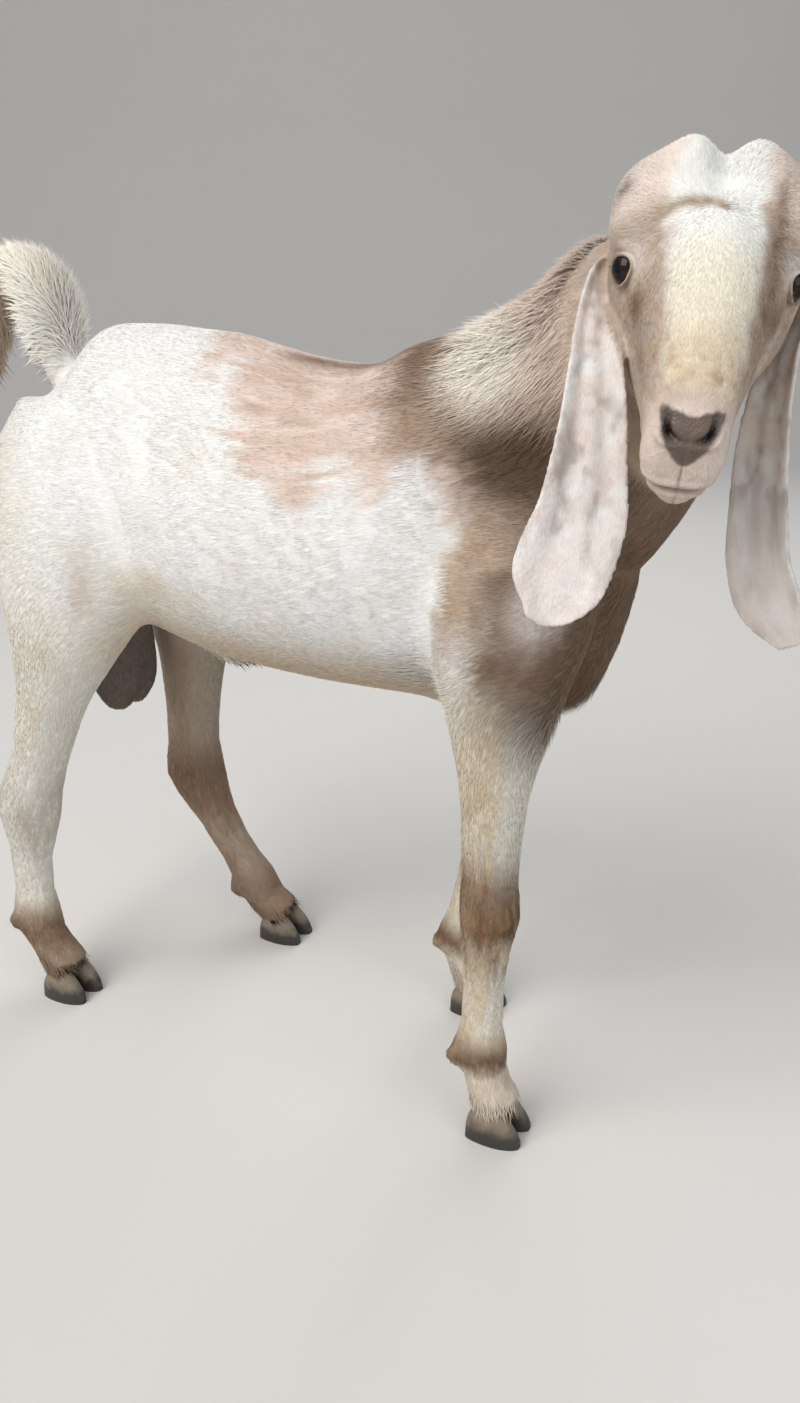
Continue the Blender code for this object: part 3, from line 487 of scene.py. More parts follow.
EYE_PLACE = np.array((0.008, 0.0415, 0.0220))
EYE_LOOK = unit(np.array((0.0088, 0.0108, 0.0036)))
FINEST = 0.022


def on_left(points):
    """The points, those of the right side mirrored onto the left."""
    mirrored = points.copy()
    mirrored[:, 1] = np.abs(mirrored[:, 1])
    return mirrored


def near_detail(points):
    """True round the eyes and over the muzzle, where the skin is made finest."""
    face = to_head(points)
    by_eye = np.linalg.norm(on_left(face) - EYE_PLACE - EYE_LOOK * 0.008, axis=1) < FINEST
    by_mouth = (face[:, 0] > 0.082) & (np.abs(face[:, 1]) < 0.03)
    return by_eye | by_mouth


work = bmesh.new()
work.from_mesh(skin.data)
points, _ = read_surface(skin.data)
fine = near_detail(points)
edges = [edge for edge in work.edges if fine[edge.verts[0].index] and fine[edge.verts[1].index]]
bmesh.ops.subdivide_edges(work, edges=edges, cuts=1, smooth=0.6)
bmesh.ops.triangulate(work, faces=work.faces)
work.to_mesh(skin.data)
work.free()

# Skin folds
# Over the flesh lie the lids round each eye, the nostrils, the naked nose pad, the lips and the
# mouth, and the bones and muscles that show through: hips, flanks, shoulders, elbows and hocks.
EYE_RADIUS = 0.0115
EYE_OPENING = (0.0056, 0.0078)
EYE_SLANT = math.radians(-34)
LID_THICKNESS = 0.0017
NOSTRIL_PLACE = (0.1075, 0.0112, -0.0145)
NOSTRIL_SLANT = math.radians(52)

# Swellings and hollows of the trunk, on both sides: centre, reach along each axis, height
BODY_FORMS = [
    ((-0.165, 0.056, 0.562), (0.020, 0.016, 0.016), 0.0060),
    ((-0.105, 0.080, 0.520), (0.030, 0.030, 0.028), -0.0070),
    ((-0.060, 0.090, 0.440), (0.018, 0.030, 0.060), 0.0022),
    ((0.190, 0.070, 0.430), (0.022, 0.022, 0.022), 0.0040),
    ((0.114, 0.072, 0.500), (0.018, 0.030, 0.050), 0.0032),
    ((0.146, 0.070, 0.500), (0.016, 0.030, 0.040), -0.0026),
    ((0.088, 0.085, 0.420), (0.018, 0.030, 0.040), -0.0026),
    ((0.118, 0.086, 0.385), (0.016, 0.020, 0.022), 0.0045),
    ((-0.130, 0.084, 0.400), (0.020, 0.020, 0.028), 0.0040),
    ((-0.165, 0.090, 0.410), (0.014, 0.030, 0.036), -0.0026),
    ((-0.225, 0.060, 0.520), (0.022, 0.022, 0.022), 0.0030),
]

# Each leg's joints from the trunk to the claws
FORELEG_RIGHT = [
    (0.168, -0.060, 0.430), (0.166, -0.066, 0.355), (0.164, -0.070, 0.200), (0.164, -0.070, 0.078),
    (0.176, -0.070, 0.020),
]
FORELEG_LEFT = [
    (0.146, 0.058, 0.430), (0.134, 0.066, 0.355), (0.110, 0.068, 0.203), (0.086, 0.068, 0.076),
    (0.100, 0.068, 0.020),
]
HINDLEG_RIGHT = [
    (-0.206, -0.054, 0.450), (-0.224, -0.068, 0.352), (-0.277, -0.078, 0.186), (-0.284, -0.082, 0.076),
    (-0.252, -0.085, 0.020),
]
HINDLEG_LEFT = [
    (-0.196, 0.054, 0.450), (-0.194, 0.068, 0.352), (-0.210, 0.080, 0.172), (-0.152, 0.086, 0.056),
    (-0.124, 0.088, 0.020),
]

# Swellings and hollows of fore and hind legs: joint number, offset from it, reach, height
FORELEG_FORMS = [
    (2, (0.013, 0.000, 0.006), (0.012, 0.012, 0.020), 0.0022),
    (2, (-0.016, 0.000, 0.006), (0.009, 0.009, 0.011), 0.0034),
    (2, (-0.004, 0.013, -0.050), (0.005, 0.009, 0.050), -0.0013),
    (2, (-0.004, -0.013, -0.050), (0.005, 0.009, 0.050), -0.0013),
    (2, (0.010, 0.012, 0.060), (0.010, 0.008, 0.050), 0.0012),
    (3, (-0.015, 0.000, 0.002), (0.009, 0.010, 0.009), 0.0022),
    (3, (0.012, 0.000, 0.000), (0.010, 0.010, 0.010), 0.0014),
]
HINDLEG_FORMS = [
    (2, (-0.018, 0.000, 0.018), (0.010, 0.009, 0.014), 0.0034),
    (2, (-0.004, 0.014, 0.048), (0.007, 0.010, 0.034), -0.0030),
    (2, (-0.004, -0.014, 0.048), (0.007, 0.010, 0.034), -0.0030),
    (2, (0.014, 0.000, 0.000), (0.010, 0.012, 0.018), 0.0018),
    (2, (0.000, 0.013, -0.055), (0.006, 0.009, 0.045), -0.0014),
    (2, (0.000, -0.013, -0.055), (0.006, 0.009, 0.045), -0.0014),
    (3, (-0.014, 0.000, 0.002), (0.009, 0.010, 0.009), 0.0020),
]
RIB_SPACING = 0.019
RIB_HEIGHT = 0.0006


def eye_axes(side):
    """The way an eye looks and the way its pupil lies, both at length one."""
    look = EYE_LOOK * (1, side, 1)
    level = np.array((math.cos(EYE_SLANT), 0, math.sin(EYE_SLANT)))
    return look, unit(level - look * (level @ look))


def eye_measure(face, side):
    """How far out of the eye's almond opening each place lies, 1 on its edge, and its offset."""
    look, level = eye_axes(side)
    away = face - EYE_PLACE * (1, side, 1)
    rise = np.cross(look, level)
    rise *= np.sign(rise[2])
    measure = np.hypot(away @ level / EYE_OPENING[0], away @ rise / EYE_OPENING[1])
    measure = np.where(away @ look > 0, measure, 9.0)
    return measure, away, away @ rise


def with_lids(face):
    """Drapes the skin over each eyeball outside the opening and drops it behind inside it."""
    for side in (-1, 1):
        measure, away, rise = eye_measure(face, side)
        far = np.linalg.norm(away, axis=1, keepdims=True)
        fold = 1 + 0.10 * bell(measure[:, None], (1.25,), (0.22,)) * (rise > 0)
        lid = (EYE_RADIUS + LID_THICKNESS) * fold[:, None]
        cling = smooth_step(2.3, 1.15, measure)[:, None]
        wanted = np.where(measure[:, None] < 1, EYE_RADIUS - 0.003, far + (lid - far) * cling)
        crease = 0.0011 * np.exp(-(((measure - 1.75) / 0.16) ** 2)) * (rise > 0)
        wanted = np.where(measure[:, None] < 3, wanted - crease[:, None], far)
        face = EYE_PLACE * (1, side, 1) + unit(away) * wanted
    return face


def mouth_level(forward):
    """Height of the slit between the lips, which rises towards the cheek."""
    return MOUTH_LEVEL + 0.35 * np.clip(MOUTH_BACK + 0.02 - forward, 0, None)


def nostril(face, side):
    """How far each place is in one nostril's comma-shaped opening, and on the wing beside it."""
    away = face - np.array(NOSTRIL_PLACE) * (1, side, 1)
    along = side * away[:, 1] * math.cos(NOSTRIL_SLANT) + away[:, 2] * math.sin(NOSTRIL_SLANT)
    across = -side * away[:, 1] * math.sin(NOSTRIL_SLANT) + away[:, 2] * math.cos(NOSTRIL_SLANT)
    curl = across - 60 * along**2
    pit = np.exp(-((along / 0.0056) ** 2) - (curl / 0.0023) ** 2)
    wing = np.exp(-((along / 0.0075) ** 2) - ((curl + 0.0048) / 0.0030) ** 2)
    in_front = smooth_step(0.080, 0.090, face[:, 0])
    return pit * in_front, wing * in_front


def muzzle_push(face):
    """Depth of the nostrils, lips and mouth: bells and grooves along the way out of the skin."""
    push = np.zeros(len(face))
    for side in (-1, 1):
        pit, wing = nostril(face, side)
        push += 0.0018 * wing - 0.0072 * pit
    front = smooth_step(0.098, 0.104, face[:, 0])
    groove = np.exp(-((face[:, 1] / 0.0011) ** 2))
    groove *= smooth_step(0.001, 0.005, face[:, 2] - mouth_level(face[:, 0]))
    push -= 0.0007 * front * groove * smooth_step(-0.012, -0.018, face[:, 2])
    inside = smooth_step(MOUTH_BACK - 0.006, MOUTH_BACK + 0.004, face[:, 0])
    drop = face[:, 2] - mouth_level(face[:, 0])
    push -= 0.0034 * inside * np.exp(-((drop / 0.0013) ** 2))
    push += 0.0012 * inside * np.exp(-(((np.abs(drop) - 0.0040) / 0.0022) ** 2))
    return push


def body_push(points):
    """Bones and muscles under the hide, on both sides, and faint ribs on the barrel."""
    push = np.zeros(len(points))
    mirrored = on_left(points)
    for centre, reach, height in BODY_FORMS:
        push += height * bell(mirrored, centre, reach)
    for joints, leg_forms in (
        (FORELEG_RIGHT, FORELEG_FORMS),
        (FORELEG_LEFT, FORELEG_FORMS),
        (HINDLEG_RIGHT, HINDLEG_FORMS),
        (HINDLEG_LEFT, HINDLEG_FORMS),
    ):
        for number, offset, reach, height in leg_forms:
            push += height * bell(points, np.array(joints[number]) + GOAT_ORIGIN + offset, reach)
    ribs = np.sin((points[:, 0] + 0.25 * points[:, 2]) * 2 * math.pi / RIB_SPACING)
    return push + RIB_HEIGHT * ribs * bell(mirrored, (0.02, 0.09, 0.47), (0.08, 0.03, 0.06))


HEAD_REACH = 0.125
points, triangles = read_surface(skin.data)
normals = normals_of(points, triangles)
in_head = np.linalg.norm(to_head(points) - HEAD_MIDDLE, axis=1) < HEAD_REACH
push = body_push(points) * ~in_head
push[in_head] += muzzle_push(to_head(points[in_head]))
points += normals * push[:, None]
points[in_head] = from_head(with_lids(to_head(points[in_head])))

# Lie of the coat
# Hair lies back along the trunk, down the neck and legs, out from a whorl on the forehead, down
# the ears and along the tail. Near each path the coat follows it, and between two it blends.
TRUNK_LINE = [
    (-0.270, 0, 0.495), (-0.200, 0, 0.490), (-0.100, 0, 0.470), (0.000, 0, 0.455), (0.100, 0, 0.460),
    (0.190, 0, 0.440),
]
SCROTUM_LINE = [(-0.214, 0, 0.375), (-0.222, 0, 0.322), (-0.226, 0, 0.275)]
MILLIMETRE = 0.001

# Each row: path, its radius, the way the hair lies on it (1 along it, -1 against it), hair length
# and tuft width in millimetres, lift in radians, depth of the coat in millimetres, and tufts per
# square millimetre
LIE = [
    ("trunk", TRUNK_LINE, 0.100, -1, 7.0, 0.72, 0.05, 1.2, 0.38),
    ("neck", NECK, 0.070, -1, 8.0, 0.65, 0.06, 1.4, 0.46),
    ("ear_right", EAR_RIGHT, 0.024, 1, 1.7, 0.42, 0.04, 0.0, 0.80),
    ("ear_left", EAR_LEFT, 0.024, 1, 1.7, 0.42, 0.04, 0.0, 0.80),
    ("foreleg_right", FORELEG_RIGHT, 0.030, 1, 6.0, 0.85, 0.11, 0.8, 0.42),
    ("foreleg_left", FORELEG_LEFT, 0.030, 1, 6.0, 0.85, 0.11, 0.8, 0.42),
    ("hindleg_right", HINDLEG_RIGHT, 0.034, 1, 6.5, 0.90, 0.11, 0.8, 0.38),
    ("hindleg_left", HINDLEG_LEFT, 0.034, 1, 6.5, 0.90, 0.11, 0.8, 0.38),
    ("tail", TAIL, 0.018, 1, 10.0, 0.90, 0.22, 0.0, 0.60),
    ("sheath", SHEATH, 0.013, 1, 9.0, 1.00, 0.20, 0.0, 0.50),
    ("scrotum", SCROTUM_LINE, 0.026, 1, 4.0, 0.80, 0.10, 0.3, 0.35),
]
# The head's own facts, in the same order from the radius on
HEAD_FACTS = (0.0, 3.0, 0.60, 0.10, 0.3, 0.85)
PART_NAMES = [row[0] for row in LIE] + ["head"]
BLEND = 2.2
LIE_STEPS = 24
HEAD_ENDS = (-0.066, 0.103)
# Hair of the face turns away from the whorl, and round the muzzle away from the nose pad
WHORL = np.array((0.006, -0.004, 0.060))
PAD_CENTRE = np.array((0.104, 0.0, -0.014))
FLANK_SLANT = 0.38

lie_places, lie_ways, lie_facts, lie_parts = [], [], [], []
for number, (_, path, reach, way, *facts) in enumerate(LIE):
    run = through(path, LIE_STEPS)[:, :3]
    lie_places.append(run + GOAT_ORIGIN)
    lie_ways.append(unit(np.gradient(run, axis=0)) * way)
    lie_facts.append(np.tile((reach, *facts), (LIE_STEPS, 1)))
    lie_parts.append(np.full(LIE_STEPS, number))
lie_places, lie_ways = np.concatenate(lie_places), np.concatenate(lie_ways)
lie_facts, lie_parts = np.concatenate(lie_facts), np.concatenate(lie_parts)

EAR_GRID_COARSE = (48, 13)
EAR_PARTS = (2, 3)
EAR_BATCH = 4000
LIE_BATCH = 20000
ear_places = np.concatenate([ear_rings(*ear, *EAR_GRID_COARSE).reshape(-1, 3) for ear in EARS])


def head_measure(face):
    """1 on the surface of the head's loft, less inside it and more outside."""
    rows = through(HEAD, 200)
    place = np.clip(face[:, 0], HEAD_ENDS[0], HEAD_ENDS[1])
    level, half, up, down = (np.interp(place, rows[:, 0], rows[:, k]) for k in (1, 2, 3, 4))
    rise = face[:, 2] - level
    reach = np.where(rise > 0, up, down)
    return np.hypot(face[:, 1] / half, rise / reach) + np.abs(face[:, 0] - place) / 0.03


def lie_of(points, normals):
    """Way of the hair, its facts, and each part's share, from the nearby steps of every path.

    A step's weight is exp(-BLEND * d**2), with d its distance over the part's radius. The head's
    share comes from its own loft instead.
    """
    ways = np.empty((len(points), 3))
    facts = np.empty((len(points), lie_facts.shape[1]))
    shares = np.zeros((len(points), len(PART_NAMES)))
    belongs = np.eye(len(LIE))[lie_parts]
    face = to_head(points)
    measure = head_measure(face)
    on_ear = np.zeros((len(points), 1))
    close = np.nonzero((measure > 1.0) & (points[:, 0] > 0.18) & (points[:, 2] > 0.40))[0]
    for start in range(0, len(close), EAR_BATCH):
        rows = close[start : start + EAR_BATCH]
        gap = np.sqrt(((points[rows, None] - ear_places) ** 2).sum(-1).min(1))
        on_ear[rows, 0] = smooth_step(0.0075, 0.0045, gap) * smooth_step(1.04, 1.14, measure[rows])
    for start in range(0, len(points), LIE_BATCH):
        rows = slice(start, start + LIE_BATCH)
        far = ((points[rows, None] - lie_places) ** 2).sum(-1) / lie_facts[:, 0] ** 2
        far[:, np.isin(lie_parts, EAR_PARTS)] *= 1 - 0.97 * on_ear[rows]
        weight = np.exp(-BLEND * (far - far.min(1, keepdims=True)))
        weight /= weight.sum(1, keepdims=True)
        ways[rows] = weight @ lie_ways
        facts[rows] = weight @ lie_facts
        shares[rows, :-1] = weight @ belongs
    ways[:, 2] -= FLANK_SLANT * shares[:, 0] * (1 - np.abs(normals[:, 2]))
    on_head = smooth_step(1.62, 1.42, measure)[:, None] * (1 - on_ear)
    muzzle = smooth_step(0.086, 0.098, face[:, 0])[:, None]
    from_whorl = unit(face - WHORL) * (1 - muzzle) + 1.6 * unit(face - PAD_CENTRE) * muzzle
    from_whorl = unit(from_whorl) @ HEAD_MATRIX[:3, :3].T
    ways = ways * (1 - on_head) + from_whorl * on_head
    facts = facts * (1 - on_head) + np.array(HEAD_FACTS) * on_head
    shares[:, :-1] *= 1 - on_head
    shares[:, -1:] = on_head
    ways -= normals * (ways * normals).sum(1, keepdims=True)
    return unit(ways), facts, shares


normals = normals_of(points, triangles)
ways, facts, shares = lie_of(points, normals)
share_of = dict(zip(PART_NAMES, shares.T))
points -= normals * facts[:, 4:5] * MILLIMETRE
normals = normals_of(points, triangles)

# Markings
# White hide with a lobed pink-tan saddle, a tan shoulder, a brown chest and throat, cream legs
# with brown knees and fetlocks, and a tan face with a broad cream blaze. Painted shade darkens the
# chest, the lower neck, the thigh creases, the flank folds, the far hind leg, the inside of the
# tail's curl, the hollow under the polls and the nostrils. Skin and coat take their colour from
# the same formula of place, so they always agree.
WHITE = np.array((0.80, 0.795, 0.775))
CREAM = np.array((0.68, 0.56, 0.38))
YELLOW = (0.56, 0.40, 0.235)
TAN = np.array((0.42, 0.29, 0.20))
BROWN = np.array((0.185, 0.110, 0.065))
DARK = (0.030, 0.022, 0.018)
PINK = (0.70, 0.535, 0.455)
GREY = (0.36, 0.31, 0.28)
CHEEK = (0.50, 0.385, 0.30)
CHEEK_PALE = (0.66, 0.55, 0.47)
TEMPLE = (0.66, 0.55, 0.48)
CROWN = (0.84, 0.72, 0.64)
CROWN_EDGE = (0.55, 0.42, 0.34)
WHORL_SHADE = (0.29, 0.195, 0.105)
MUZZLE = (0.58, 0.475, 0.405)
MUZZLE_PALE = (0.74, 0.62, 0.55)
LID = (0.72, 0.63, 0.57)
NOSE = (0.080, 0.052, 0.038)
NOSE_MIDDLE = (0.18, 0.118, 0.085)
NOSE_EDGE = (0.34, 0.25, 0.21)
NOSTRIL_SHADE = (0.014, 0.009, 0.008)
LIP = (0.30, 0.21, 0.18)
EAR_SKIN = (0.72, 0.63, 0.58)
EAR_FRECKLE = (0.40, 0.29, 0.24)
EAR_TIP = (0.86, 0.79, 0.75)
NAPE = (0.70, 0.55, 0.46)
NECK_PATCH = (0.90, 0.83, 0.72)
LEG_STRIPE = (0.74, 0.70, 0.62)
KNEE = (0.215, 0.115, 0.056)
FETLOCK = (0.165, 0.092, 0.050)
PASTERN_BROWN = (0.20, 0.122, 0.076)
PASTERN_PALE = (0.66, 0.56, 0.45)
POUCH = (0.115, 0.085, 0.068)

# Spots on both sides of the face: centre, reach, strength on the right and left, colour
FACE_SPOTS = [
    ((0.036, 0.037, 0.016), (0.011, 0.008, 0.009), (0.95, 0.75), BROWN),
    ((0.052, 0.034, -0.004), (0.022, 0.010, 0.010), (0.55, 0.55), BROWN),
    ((0.016, 0.050, 0.034), (0.016, 0.010, 0.010), (0.55, 0.55), GREY),
    ((-0.020, 0.053, 0.053), (0.0034, 0.0090, 0.0046), (0.90, 0.90), DARK),
    ((-0.026, 0.056, 0.050), (0.0120, 0.0100, 0.0120), (0.60, 0.60), GREY),
]

# Heights of the marks on each leg: part, knee or hock, fetlock, and whether its foot is brown
LEG_MARKS = [
    ("foreleg_right", 0.205, 0.074, False),
    ("foreleg_left", 0.205, 0.074, False),
    ("hindleg_right", 0.180, 0.062, True),
    ("hindleg_left", 0.160, 0.052, True),
]
NOISE_SIDE = 32
PAD_TOP = -0.0045
PAD_FOOT = -0.0325
PAD_HALF = 0.0172


def cloud(points, size, seed):
    """Soft noise from -1 to 1: random values on a lattice of that size, blended between them."""
    lattice = np.random.default_rng(seed).uniform(-1, 1, (NOISE_SIDE,) * 3)
    place = points / size
    low = np.floor(place).astype(int)
    t = place - low
    t = t * t * (3 - 2 * t)
    total = np.zeros(len(points))
    for corner in np.ndindex(2, 2, 2):
        index = (low + corner) % NOISE_SIDE
        share = np.where(corner, t, 1 - t).prod(1)
        total += share * lattice[index[:, 0], index[:, 1], index[:, 2]]
    return total


def mottle(points, size, seed):
    """Two scales of cloud added."""
    return cloud(points, size, seed) + 0.5 * cloud(points, size * 0.43, seed + 1)


def lay(colours, mask, colour):
    """Paints a colour over one colour or over many, by the mask."""
    mask = np.clip(mask, 0, 1)[:, None]
    return np.asarray(colours) * (1 - mask) + np.asarray(colour) * mask


def side_spot(points, centre, reach):
    """A bell over the same oval of both flanks, with its centre and reach along X and up."""
    return bell(points * (1, 0, 1), (centre[0], 0, centre[1]), (reach[0], 1, reach[1]))


def nose_pad(face, ripple=0.0):
    """1 on the naked heart-shaped pad between the nostrils, 0 off it."""
    x, y, z = face.T
    down = np.clip((PAD_TOP - z) / (PAD_TOP - PAD_FOOT), 0, 1)
    half = PAD_HALF * (1 - down**1.5) ** 0.75
    top = PAD_TOP - 0.0022 * np.exp(-((y / 0.005) ** 2))
    inside = smooth_step(0.0014, -0.0010, np.abs(y) - half + ripple)
    inside *= smooth_step(0.0010, -0.0012, z - top + ripple)
    return inside * smooth_step(0.0940, 0.0975, x)


def face_colours(face):
    """Colours of the head by place in its own frame."""
    x, y, z = face.T
    spots = mottle(face, 0.011, 11)
    fine = mottle(face, 0.004, 21)
    colours = lay(CHEEK, 0.36 + 0.60 * spots, GREY)
    colours = lay(colours, 0.25 + 0.60 * mottle(face, 0.008, 27), TAN)
    colours = lay(colours, 0.55 * smooth_step(0.2, 0.9, mottle(face, 0.013, 29)), CHEEK_PALE)
    colours = lay(colours, smooth_step(-0.01, -0.05, z) * 0.35 + 0.15 * spots, CREAM)
    crown = smooth_step(0.004, -0.012, x) * smooth_step(0.028, 0.046, z)
    colours = lay(colours, crown * (0.90 + 0.15 * fine), CROWN)
    colours = lay(colours, crown * smooth_step(0.024, 0.034, y) * 0.6, CROWN_EDGE)
    temple = smooth_step(0.010, -0.012, x) * smooth_step(0.010, 0.030, z)
    temple *= smooth_step(0.030, 0.040, np.abs(y))
    colours = lay(colours, temple * (0.60 + 0.40 * spots), TEMPLE)
    middle = -0.003 + 0.05 * np.clip(x, 0, 0.1)
    half = 0.0245 - 0.085 * np.clip(x - 0.02, 0, 0.1) + 0.0030 * spots + 0.0012 * fine
    half -= 0.18 * np.clip(-0.005 - x, 0, 0.05) * (y < middle)
    blaze = smooth_step(0.0045, -0.0045, np.abs(y - middle) - half)
    blaze *= smooth_step(0.010, 0.026, z + 0.45 * x)
    colours = lay(colours, blaze, WHITE * (1.05, 1.04, 1.0))
    colours = lay(colours, blaze * smooth_step(0.015, 0.055, x) * 0.48, CREAM * (1.15, 1.15, 1.05))
    colours = lay(colours, blaze * smooth_step(0.055, 0.086, x) * (0.55 + 0.30 * fine), YELLOW)
    low_tan = smooth_step(0.070, 0.088, x) * smooth_step(-0.2, 0.9, mottle(face, 0.009, 23))
    colours = lay(colours, blaze * low_tan * 0.95, TAN * (0.85, 0.80, 0.70))
    # Painted shade: a brown arc in the hollow under the poll bumps, round the forehead whorl
    ring = np.hypot(x - 0.0125, 0.75 * (y + 0.013) + 0.1 * x) + 0.0006 * fine
    brow = np.exp(-(((ring - 0.0115) / 0.0045) ** 2)) * smooth_step(0.013, 0.006, x)
    inner = smooth_step(0.013, 0.009, ring) * smooth_step(0.012, 0.004, x) * smooth_step(-0.022, -0.014, y)
    brow = np.maximum(brow, 0.75 * inner)
    colours = lay(colours, brow * smooth_step(0.03, 0.042, z) * (0.85 + 0.2 * fine), WHORL_SHADE)
    streak = np.exp(-(((y - 0.0305 + 0.002 * spots) / 0.0048) ** 2)) * smooth_step(-0.03, -0.01, x)
    streak *= smooth_step(0.085, 0.055, x) * smooth_step(0.0, 0.02, z)
    colours = lay(colours, 0.85 * streak * (0.8 + 0.3 * fine), BROWN)
    for side, hand in ((-1, 0), (1, 1)):
        for centre, reach, strengths, colour in FACE_SPOTS:
            spot = bell(face, np.array(centre) * (1, side, 1), reach)
            colours = lay(colours, strengths[hand] * spot, colour)
    pad = nose_pad(face, 0.0006 * fine)
    muzzle = smooth_step(0.078, 0.093, x - 0.30 * (z + 0.02) + 0.0015 * spots)
    colours = lay(colours, muzzle * 0.95, MUZZLE)
    around = smooth_step(0.095, 0.100, x) * smooth_step(0.004, -0.002, z)
    colours = lay(colours, around * (0.45 + 0.25 * fine), MUZZLE_PALE)
    dark_rim = nose_pad(face * (1, 0.90, 1) + (0, 0, 0.0010)) * (1 - pad)
    colours = lay(colours, dark_rim * 0.35, NOSE_EDGE)
    colours = lay(colours, pad * (0.95 + 0.05 * spots), NOSE)
    pad_middle = pad * bell(face, (0.103, 0, -0.013), (0.02, 0.006, 0.006))
    colours = lay(colours, pad_middle * 0.50, NOSE_MIDDLE)
    # Painted shade: near black inside each nostril's opening
    for side in (-1, 1):
        pit, _ = nostril(face, side)
        colours = lay(colours, 1.3 * pit, NOSTRIL_SHADE)
    lips = np.exp(-(((z - mouth_level(x)) / 0.0042) ** 2)) * smooth_step(MOUTH_BACK, MOUTH_BACK + 0.01, x)
    colours = lay(colours, 0.55 * lips, LIP)
    for side in (-1, 1):
        measure, away, rise = eye_measure(face, side)
        brow_lid = smooth_step(2.9, 1.9, measure) * smooth_step(0.0, 0.006, rise - 0.6 * away[:, 0])
        colours = lay(colours, 0.75 * brow_lid, LID)
        colours = lay(colours, 0.45 * smooth_step(2.4, 1.3, measure) * (rise < 0), BROWN * 1.2)
        colours = lay(colours, 0.95 * smooth_step(1.30, 1.12, measure), DARK)
    return colours, pad


def leg_colours(points, front, knee, fetlock, brown_foot):
    """Cream leg, white stripe down its front, brown joint, brown fetlock band, pale pastern."""
    z = points[:, 2]
    spots = mottle(points, 0.013, 31)
    fine = mottle(points, 0.006, 33)
    colours = lay(CREAM * 0.92, 0.20 + 0.30 * spots, WHITE)
    colours = lay(colours, 0.10 + 0.25 * fine, TAN)
    colours = lay(colours, front * smooth_step(knee - 0.01, knee + 0.03, z) * 0.9, LEG_STRIPE)
    joint = np.exp(-(((z + 0.012 * fine - knee + 0.004) / 0.038) ** 2))
    cannon = smooth_step(fetlock + 0.016, fetlock + 0.034, z) * smooth_step(knee - 0.026, knee - 0.050, z)
    colours = lay(colours, front * cannon * (0.65 + 0.25 * spots), LEG_STRIPE)
    colours = lay(colours, joint * (1.05 + 0.45 * spots), KNEE)
    blotches = smooth_step(-0.3, 0.5, fine)
    colours = lay(colours, joint * (0.50 + 0.45 * front) * blotches, BROWN * 0.5)
    pale = np.exp(-(((z - knee) / 0.006) ** 2)) * front
    colours = lay(colours, pale * (0.2 + 0.5 * spots), CREAM)
    band = np.exp(-(((z - fetlock) / 0.014) ** 2))
    colours = lay(colours, band * (0.95 + 0.3 * spots), FETLOCK)
    foot = smooth_step(fetlock - 0.010, fetlock - 0.022, z)
    if brown_foot:
        foot = smooth_step(fetlock + 0.055, fetlock, z + 0.012 * spots)
    pastern = PASTERN_BROWN if brown_foot else PASTERN_PALE
    colours = lay(colours, foot * (0.80 + 0.2 * fine), pastern)
    return lay(colours, foot * 0.65 * smooth_step(0.0, 0.8, mottle(points, 0.010, 37)), TAN * 0.8)


